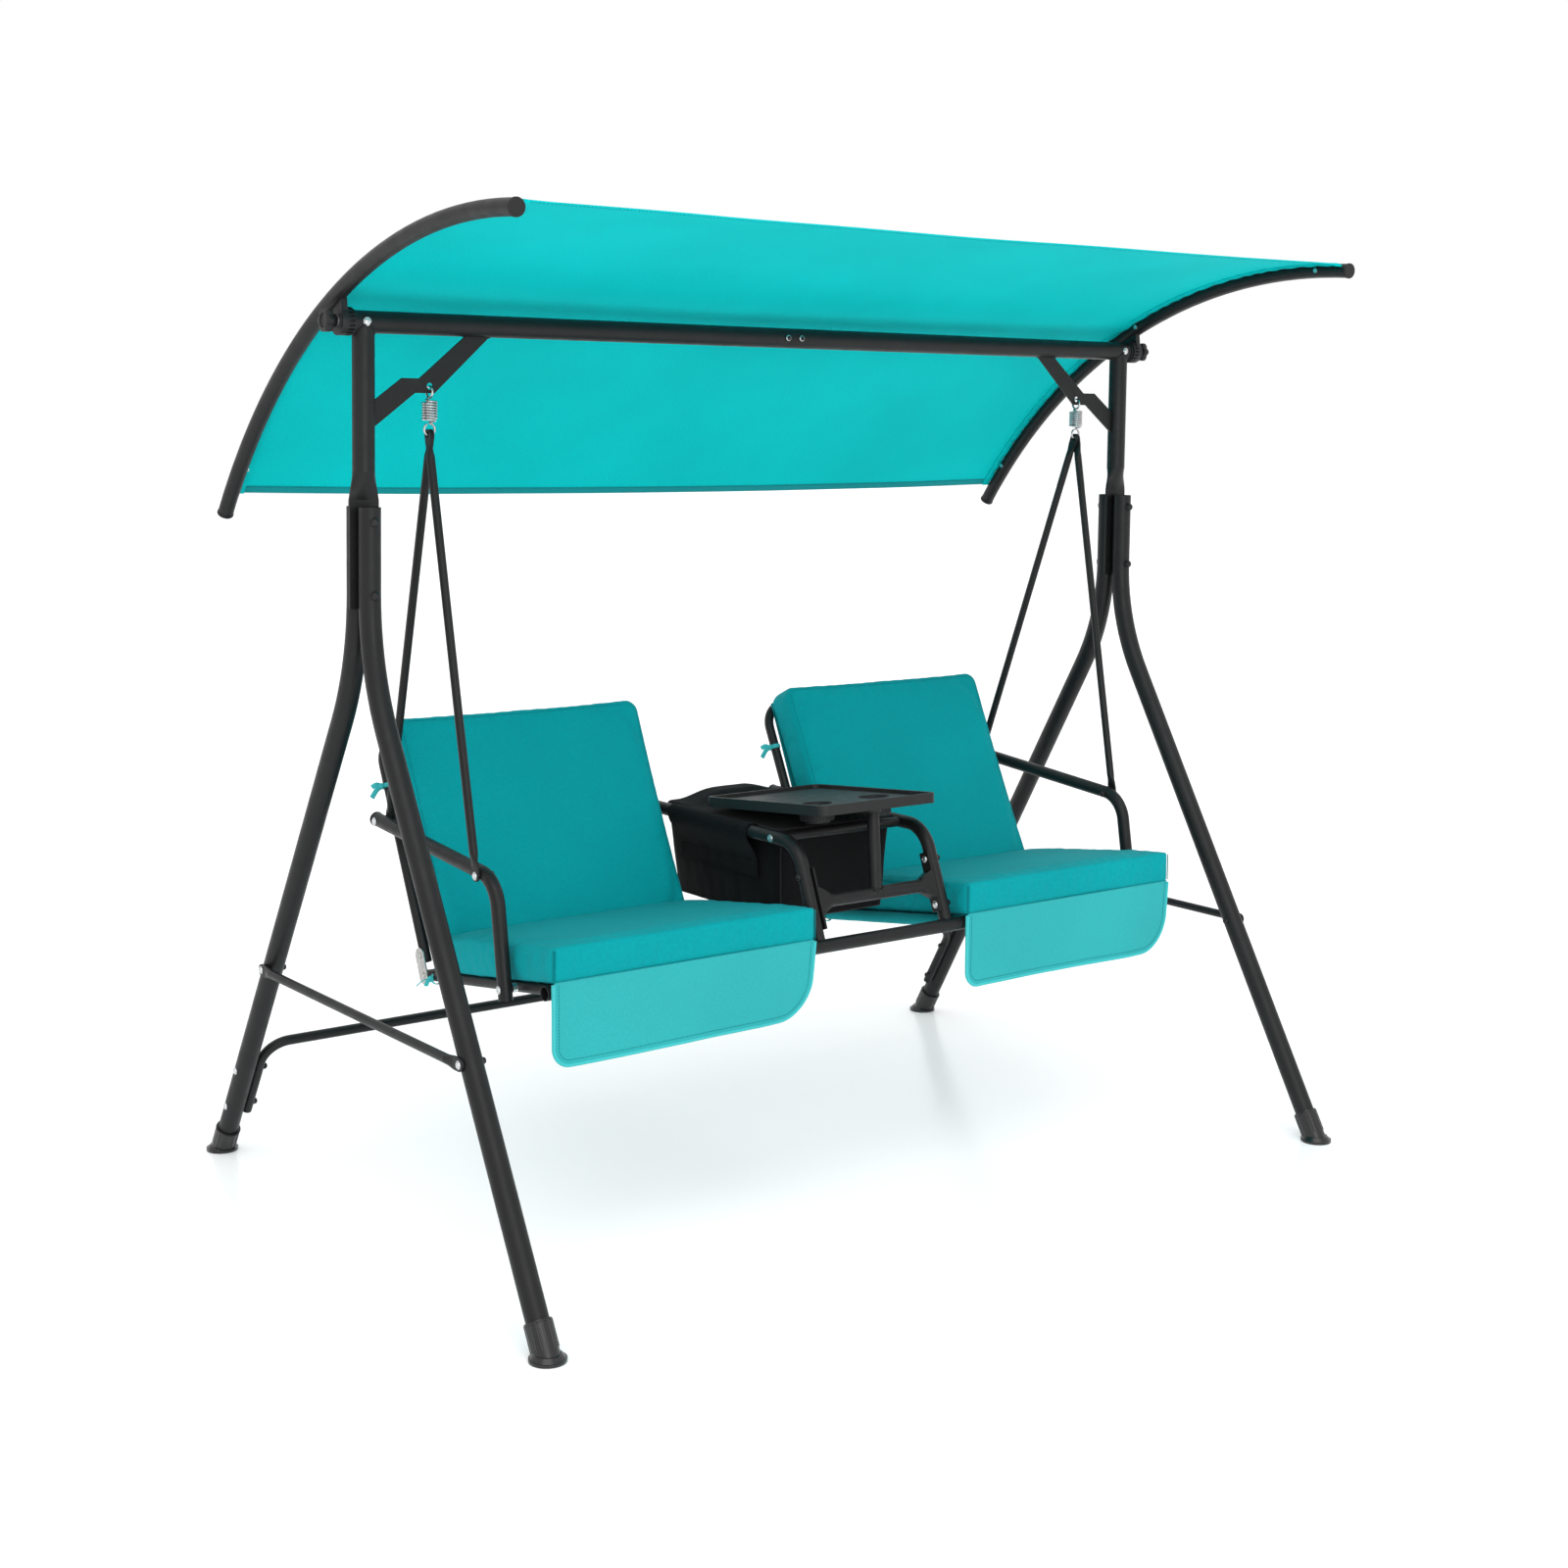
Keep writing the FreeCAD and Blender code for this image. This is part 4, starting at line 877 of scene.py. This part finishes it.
# ---- bag ----------------------------------------------------------------------------
class Bag:
    """Soft box between the two inner armrests, a little smaller at the bottom."""

    def __init__(self):
        self.low, self.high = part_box("bag")
        self.taper = 0.010

    def wall(self, around, z, out=0.0):
        """Point on the wall; around goes once round from 0 to 1, starting at the front left corner."""
        share = (z - self.low.z) / (self.high.z - self.low.z)
        half_x = self.high.x - self.taper * (1 - share)
        front = self.low.y + 0.8 * self.taper * (1 - share)
        rear = self.high.y - 2.2 * self.taper * (1 - share)
        half_y, centre = (rear - front) / 2, (rear + front) / 2
        perimeter = 4 * (half_x + half_y)
        gone = (around % 1.0) * perimeter
        signs = ((-1, -1), (1, -1), (1, 1), (-1, 1), (-1, -1))
        corners = [(half_x * i, half_y * j) for i, j in signs]
        for (x0, y0), (x1, y1) in zip(corners, corners[1:]):
            run = abs(x1 - x0) + abs(y1 - y0)
            if gone <= run or (x1, y1) == corners[-1]:
                t = min(gone / run, 1.0)
                x, y = x0 + (x1 - x0) * t, y0 + (y1 - y0) * t
                outward = Vector((y1 - y0, x0 - x1, 0)).normalized()
                bulge = 0.0042 * (1 - (2 * t - 1) ** 2) * math.sin(math.pi * min(max(share, 0), 1)) ** 0.6
                break
            gone -= run
        x, y = rounded(x, y, half_x, half_y, [0.014] * 4)
        point = Vector((x, y + centre, z))
        crease = 0.0015 * wrinkle((x * 1.2, y * 1.2, z * 0.8), 22, 6.0)
        crease += 0.0012 * wrinkle((x * 2.0, y * 2.0, z * 0.5), 30, 1.5) * (1 - share)
        return point + outward * (bulge + crease + out)


def make_bag():
    bag = Bag()
    around, levels, base_rings = 208, 30, 12
    shape = Shape()
    rows = []
    for i in range(levels + 1):
        z = bag.high.z - (bag.high.z - bag.low.z - 0.006) * i / levels
        rows.append([shape.add(bag.wall(j / around, z), (j / around * 1.25, z, 0)) for j in range(around)])
    shape.grid(rows, loop_columns=True)
    base = [shape.points[n].copy() for n in rows[-1]]
    centre = sum(base, Vector()) / around
    inner = rows[-1]
    for i in range(1, base_rings + 1):
        share = i / (base_rings + 1)
        row = []
        for j in range(around):
            flat = base[j].lerp(centre, share)
            round_off = 0.006 * eased(share * 6)
            sag = 0.013 * math.sin(math.pi / 2 * share) ** 1.5
            lump = 0.0022 * wrinkle(flat, 17, 9.0)
            row.append(shape.add(flat - Z * (round_off + sag - lump), (flat.x, flat.y, 0)))
        shape.grid([inner, row], loop_columns=True)
        inner = row
    middle = shape.add(centre - Z * 0.019)
    for j in range(around):
        shape.faces.append((inner[j], middle, inner[(j + 1) % around]))
    shape.faces.append(tuple(rows[0]))
    shape.build("bag_body", BAG, "hanging_seat", "bag_cloth", ["bag"], 60)
    make_lid(bag)
    bag_seams(bag)
    for side, sx in SIDES:
        make_sleeve(bag, side, sx)


def lid_height(x, y, low, high):
    """Top of the lid: flat in front, with a padded hump at the back."""
    half_x = (high.x - low.x) / 2
    hump = eased((y - (high.y - 0.105)) / 0.050) * (1 - eased((y - (high.y - 0.022)) / 0.022))
    hump *= 1 - 0.9 * eased((abs(x) - (half_x - 0.105)) / 0.105)
    flat = 0.0030 * (1 - (x / half_x) ** 2)
    return low.z + 0.0035 + flat + 0.0195 * hump + 0.0010 * wrinkle((x, y, 0), 24, 7.0)


def make_lid(bag):
    low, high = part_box("bag_lid")
    middle_y, half_x, half_y = (low.y + high.y) / 2, (high.x - low.x) / 2, (high.y - low.y) / 2
    columns, rows = 61, 81

    def place(i, j):
        x = spread(half_x, j, columns)
        y = spread(half_y, i, rows)
        x, y = rounded(x, y, half_x, half_y, [0.016] * 4)
        return Vector((x, y + middle_y, lid_height(x, y + middle_y, low, high))), (x, y, 0)

    Shape().sheet(place, columns, rows, 0.0030).build("bag_lid_cloth", BAG, "hanging_seat", "bag_cloth",
                                                      ["bag_lid"], 60)
    rim = [bag.wall(t / 240, high.z - 0.0225, 0.0020) for t in range(240)]
    edge = Shape().tube([Vector((p.x, p.y, low.z + 0.0022)) for p in rim], 0.0030, 10, True)
    # painted highlight: the piping is in the lighter trim colour for the light along its rolled edge.
    edge.build("bag_piping", BAG_TRIM_AND_HIGHLIGHT, "hanging_seat", "bag_cloth")
    coil = Shape().tube([Vector((p.x, p.y, low.z - 0.0085)) for p in rim], 0.0016, 8, True, 0.7)
    coil.build("bag_zip", PLASTIC, "hanging_seat", "black_plastic")
    make_zip_pull(rim, low)


def make_zip_pull(rim, low):
    """Slider and tag of the zip, at the bag's front left corner."""
    at = Vector((rim[4].x, rim[4].y - 0.003, low.z - 0.0085))
    shape = Shape()
    slider = [(0, 0), (0.0030, 0.0008), (0.0036, 0.006), (0.0030, 0.0112), (0, 0.012)]
    shape.lathe(at - X * 0.006, X, slider, 12)
    tag = [at, at + Vector((0.002, -0.004, -0.010)), at + Vector((0.004, -0.003, -0.028))]
    shape.tube(smooth_line(tag, 6), 0.0028, 8, False, 0.35, X)
    shape.build("bag_zip_pull", ZINC, "hanging_seat", "zinc_fasteners")


def bag_seams(bag):
    """Raised seams down the bag's corners and round its lower edge."""
    shape = Shape()
    half_x, half_y = bag.high.x, (bag.high.y - bag.low.y) / 2
    share = half_x / (2 * (half_x + half_y))
    for around in (0.0, share, 0.5, 0.5 + share):
        drop = bag.high.z - bag.low.z - 0.020
        line = [bag.wall(around + 0.002, bag.high.z - 0.012 - drop * t / 30, 0.0004) for t in range(31)]
        shape.tube(line, 0.0016, 8)
    ring = [bag.wall(t / 200, bag.low.z + 0.007, 0.0004) for t in range(200)]
    shape.tube(ring, 0.0018, 8, True)
    shape.build("bag_seams", BAG_TRIM_AND_HIGHLIGHT, "hanging_seat", "bag_cloth")


def make_sleeve(bag, side, sx):
    """Flap sewn to the bag's rim that goes over the inner armrest and down outside it."""
    arm_low, arm_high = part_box(f"armrest_inner_{side}")
    arm_x = (arm_low.x + arm_high.x) / 2
    arm_z = arm_high.z - arm_r
    over = arm_r + 0.0022
    section = [(bag.high.x - 0.004, arm_z + 0.0085)]
    for degrees in range(100, -1, -10):
        a = math.radians(degrees)
        section.append((abs(arm_x) + over * math.cos(a), arm_z + over * math.sin(a)))
    section += [(abs(arm_x) + over - 0.003, arm_z - 0.014), (abs(arm_x) + 0.001, arm_z - 0.031),
                (bag.high.x + 0.0065, arm_z - 0.052), (bag.high.x + 0.0040, arm_z - 0.070),
                (bag.high.x + 0.0030, arm_z - 0.090)]
    line = smooth_line([Vector((sx * x, 0, z)) for x, z in section], 3)
    first_y, last_y = -0.106, 0.150
    columns = 49

    def place(i, j):
        share = j / (columns - 1)
        y = first_y + (last_y - first_y) * share
        down = eased((arm_z - line[i].z) / 0.06)
        out = 0.0008 * wrinkle((line[i].x, y * 1.4, line[i].z), 26, 2.2 + sx) * down
        return line[i] + Y * y + X * (sx * out), (y, i * 0.005, 0)

    shape = Shape().sheet(place, columns, len(line), 0.0016)
    sleeve = shape.build(f"bag_sleeve_{side}", BAG, "hanging_seat", "bag_cloth", (), 60)
    seams = Shape()
    for j in (2, columns - 3):
        stitches(seams, [place(i, j)[0] + X * (sx * 0.0013) for i in range(12, len(line))])
    lower = len(line) - 5
    stitches(seams, [place(lower, j)[0] + X * (sx * 0.0013) for j in range(columns)])
    seam = seams.build(f"sleeve_stitches_{side}", BAG_TRIM_AND_HIGHLIGHT, "hanging_seat", "bag_cloth")


# ---- fasteners ----------------------------------------------------------------------
def islands(node):
    """Points of each separate solid in a CAD node."""
    mesh = frame["nodes"][node].data
    keys = [tuple(round(c, 5) for c in v.co) for v in mesh.vertices]
    parent = {k: k for k in keys}

    def root(k):
        while parent[k] != k:
            parent[k] = parent[parent[k]]
            k = parent[k]
        return k

    for polygon in mesh.polygons:
        first, *rest = [root(keys[n]) for n in polygon.vertices]
        for other in rest:
            parent[root(other)] = root(first)
    groups = {}
    for k in parent:
        groups.setdefault(root(k), []).append(Vector(k))
    return [groups[k] for k in sorted(groups)]


def bolt_ends(points):
    """(end point, outward direction, radius, is_head) for each wide end of a bolt."""
    array = np.array(points)
    low, high = array.min(0), array.max(0)
    axis = int(np.argmax(high - low))
    centre = (low + high) / 2
    radial = np.linalg.norm(np.delete(array - centre, axis, 1), axis=1)
    widest = radial.max()
    ends = []
    if (high - low)[axis] < 3 * widest:
        return ends
    for way, end in ((-1, low[axis]), (1, high[axis])):
        near = radial[np.abs(array[:, axis] - end) < 0.003].max()
        if near < 0.8 * widest:
            continue
        at = centre.copy()
        at[axis] = end
        outward = Vector([way if n == axis else 0 for n in range(3)])
        ends.append((Vector(at), outward, near, near > 0.975 * widest))
    return ends


def dress_bolts(node, body, black_within=0.0):
    """Socket heads and black cap nuts over a CAD node's plain ones.

    Heads nearer to the middle than black_within are black domes.
    """
    heads, nuts = Shape(), Shape()
    for points in islands(node):
        for at, out, radius, is_head in bolt_ends(points):
            if is_head:
                depth = radius * 0.47
                r = radius * 1.03
                profile = [(r * 1.22, 0), (r * 1.22, depth * 0.22), (r, depth * 0.25),
                           (r * 0.98, depth * 0.60), (r * 0.82, depth * 0.98), (r * 0.56, depth * 1.18)]
                black = abs(at.x) < black_within
                if black:
                    profile += [(0, depth * 1.22)]
                else:
                    profile += [(r * 0.44, depth * 1.20), (r * 0.40, depth * 1.04), (0, depth * 1.03)]
                target = nuts if black else heads
                target.lathe(at - out * (depth + 0.0001), out, profile, 28)
            else:
                depth = radius
                r = radius * 1.08
                nuts.lathe(at - out * depth, out,
                           [(r * 1.15, 0), (r * 1.15, depth * 0.38), (r * 1.05, depth * 0.45)], 6)
                nuts.lathe(at - out * depth, out,
                           [(r * 0.98, depth * 0.30), (r * 0.96, depth * 0.62), (r * 0.80, depth * 0.98),
                            (r * 0.45, depth * 1.20), (0, depth * 1.28)], 24)
    if heads.points:
        heads.build(f"{node}_heads", ZINC, body, "zinc_fasteners")
    if nuts.points:
        nuts.build(f"{node}_nuts", PLASTIC, body, "black_plastic")


# ---- plastic and steel details ------------------------------------------------------
def make_cup_ribs():
    """Grip ribs round the outside of the two cup wells, with a lip above and a foot below."""
    shape = Shape()
    up = tray_up()
    along = X.cross(up) * -1
    well_x, well_y, well_r, ribs, lip_height = 0.068, 0.080, 0.0315, 30, 0.0122
    for _, sx in SIDES:
        centre = joints_origin("tray_swivel") + X * (sx * well_x) + along * well_y
        for at in circle(centre, X, along, well_r, ribs):
            shape.tube([at - up * 0.0175, at - up * 0.001], 0.0011, 6)
        shape.tube(circle(centre + up * lip_height, X, along, 0.0300, 60), 0.0009, 8, True)
        foot = [(0.0240, 0), (0.0238, 0.0040), (0.0225, 0.0050), (0, 0.0050)]
        shape.lathe(centre - up * 0.0185, up * -1, foot, 40)
    shape.build("tray_cup_ribs", TRAY, "tray", "tray_plastic")


def make_knobs():
    """Lobed hand knobs with a rounded rim and a recessed face."""
    lobes, around = 6, 96
    for side, sx in SIDES:
        low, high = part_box(f"knob_{side}")
        near = low.x if sx > 0 else high.x
        depth = high.x - low.x
        centre = Vector((near, 0, (low.z + high.z) / 2))
        reach = (high.y - low.y) / 2
        shape = Shape()
        rows = []
        profile = [(0.0, 0.0, 0), (0.50, 0.0, 0), (0.54, 0.03, 0), (0.56, 0.30, 0), (0.66, 0.38, 0.3),
                   (0.92, 0.42, 0.9), (0.99, 0.50, 1), (1.0, 0.62, 1), (1.0, 0.80, 1), (0.97, 0.91, 1),
                   (0.88, 0.985, 0.8), (0.70, 1.0, 0.4), (0.60, 0.99, 0.2), (0.55, 0.90, 0), (0.0, 0.88, 0)]
        for size, along, lobed in profile:
            row = []
            for j in range(around):
                a = 2 * math.pi * j / around
                wave = 0.5 + 0.5 * math.cos(lobes * a)
                r = reach * size * (1 - 0.20 * lobed * (1 - wave ** 0.7))
                out = Vector((sx * depth * along, r * math.cos(a), r * math.sin(a)))
                row.append(shape.add(centre + out))
            rows.append(row)
        shape.grid(rows, loop_columns=True)
        shape.build(f"knob_grip_{side}", PLASTIC, f"knob_{side}", "black_plastic", [f"knob_{side}"], 50)


def make_foot_ribs():
    """Flutes moulded down each foot and a lip round its top, in line with the leg."""
    boot_r, flange_r, flutes = 0.0222, 0.030, 14
    foot_high, foot_low = 0.0495, 0.0135
    for side, _ in SIDES:
        for end, sy in (("front", -1), ("rear", 1)):
            low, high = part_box(f"foot_{end}_{side}")
            centre = Vector(((low.x + high.x) / 2, sy * (abs(low.y if sy < 0 else high.y) - flange_r), 0))
            up = Vector((0, -sy * leg_run, 1)).normalized()
            third = up.cross(X)
            top, bottom = (centre + up * (height / up.z) for height in (foot_high, foot_low))
            shape = Shape()
            for out in circle(Vector(), X, third, boot_r - 0.0004, flutes):
                shape.tube([bottom + out, top + out], 0.0013, 8)
            shape.tube(circle(top, X, third, boot_r, 48), 0.0014, 8, True)
            shape.build(f"foot_ribs_{end}_{side}", GLOSSY, "stand", "black_plastic")


def weld_bead(shape, points, radius):
    """Uneven bead of weld along a closed line."""
    radii = [radius * (1 + 0.22 * math.sin(i * 1.9)) for i in range(len(points))]
    shape.tube(points, radii, 8, True)


def make_welds():
    """Beads where the posts and gussets meet the crossbar, and at the foot of the tray's post."""
    gusset_width, half_plate = 0.048, 0.0026
    stand_bar_top = 0.5665
    beads = Shape()
    bar_low, bar_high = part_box("crossbar_left")
    bar_r = (bar_high.z - bar_low.z) / 2
    bar_z = (bar_high.z + bar_low.z) / 2
    for side, sx in SIDES:
        low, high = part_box(f"post_{side}")
        x = (low.x + high.x) / 2
        points = []
        for i in range(90):
            a = 2 * math.pi * i / 90
            y = bar_r * math.sin(a) * 0.999
            points.append(Vector((x + (bar_r + 0.0004) * math.cos(a), y * 1.02,
                                  bar_z - math.sqrt(max(bar_r ** 2 - y ** 2, 0)) * 1.01)))
        weld_bead(beads, points, 0.0018)
        gusset_low, gusset_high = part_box(f"gusset_{side}")
        inner = gusset_low.x if sx > 0 else gusset_high.x
        ring = []
        for x_at, y in ((0, -1), (1, -1), (1, 1), (0, 1)):
            ring.append(Vector((inner + sx * gusset_width * x_at, y * half_plate, bar_z - bar_r)))
        weld_bead(beads, dense(ring, 14), 0.0016)
    beads.build("frame_welds", STEEL, "stand", "black_frame")
    stand = Shape()
    along = tray_up()
    pivot = joints_origin("tray_swivel")
    foot = pivot - along * ((pivot.z - stand_bar_top) / along.z)
    ring = [foot + Vector((math.cos(a), math.sin(a), 0)) * (post_r + 0.001)
            + Z * (-0.0045 * math.sin(a) ** 2) for a in (2 * math.pi * i / 60 for i in range(60))]
    weld_bead(stand, ring, 0.0022)
    stand.build("stand_weld", STEEL, "hanging_seat", "black_frame")


def dense(corners, steps):
    """Closed polygon with steps points on each side."""
    points = []
    for a, b in zip(corners, corners[1:] + corners[:1]):
        points += [a.lerp(b, i / steps) for i in range(steps)]
    return points


def tray_up():
    return Vector((0, math.sin(tray_tilt), math.cos(tray_tilt)))


def joints_origin(name):
    """Where a joint's axis passes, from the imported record."""
    return Vector(joints[name]["pos_m"])


# ---- CAD nodes ----------------------------------------------------------------------
def paint_nodes():
    """Give every CAD node its material."""
    paints = {"black_frame": STEEL, "zinc_fasteners": ZINC, "spring_wire": SPRING, "zinc_plate": PLATE,
              "black_plastic": PLASTIC, "tray_plastic": TRAY, "canopy_cloth": CANOPY,
              "cushion_cloth": CUSHION, "sling_cloth": SLING, "bag_cloth": BAG}
    for part in frame["record"]["subparts"]:
        is_foot = part["node"].startswith("foot_")
        for slot in frame["nodes"][part["node"]].material_slots:
            slot.material = GLOSSY if is_foot else paints[part["material_slot"]]


def soften(names, width):
    """Round the sharp edges of CAD nodes by a small amount."""
    for name in names:
        node = frame["nodes"][name]
        weld = node.modifiers.new("weld", "WELD")
        weld.merge_threshold = 0.00001
        bevel = node.modifiers.new("bevel", "BEVEL")
        bevel.limit_method = "ANGLE"
        bevel.angle_limit = math.radians(50)
        bevel.width = width
        bevel.segments = 2


make_camera()
make_studio()
floor = bpy.data.objects.new("floor", bpy.data.meshes.new("floor"))
floor.data.from_pydata([(-30, -30, 0), (30, -30, 0), (30, 30, 0), (-30, 30, 0)], [], [(0, 1, 2, 3)])
floor.data.materials.append(floor_paint())
scene.collection.objects.link(floor)

paint_nodes()
soften(["tray"], 0.0011)
soften(["tray_stand", "gusset_left", "gusset_right", "canopy_hubs", "hinge_plates"], 0.0006)
pads = make_cushions()
pad_trim(pads)
make_skirts()
make_canopy()
make_slings()
make_springs()
make_bag()
for node, body in (("leg_bolts", "stand"), ("brace_bolts", "stand"), ("crossbar_bolts", "stand"),
                   ("seat_bolts", "hanging_seat")):
    dress_bolts(node, body, 0.1 if node == "crossbar_bolts" else 0.0)
make_cup_ribs()
make_knobs()
make_foot_ribs()
make_welds()
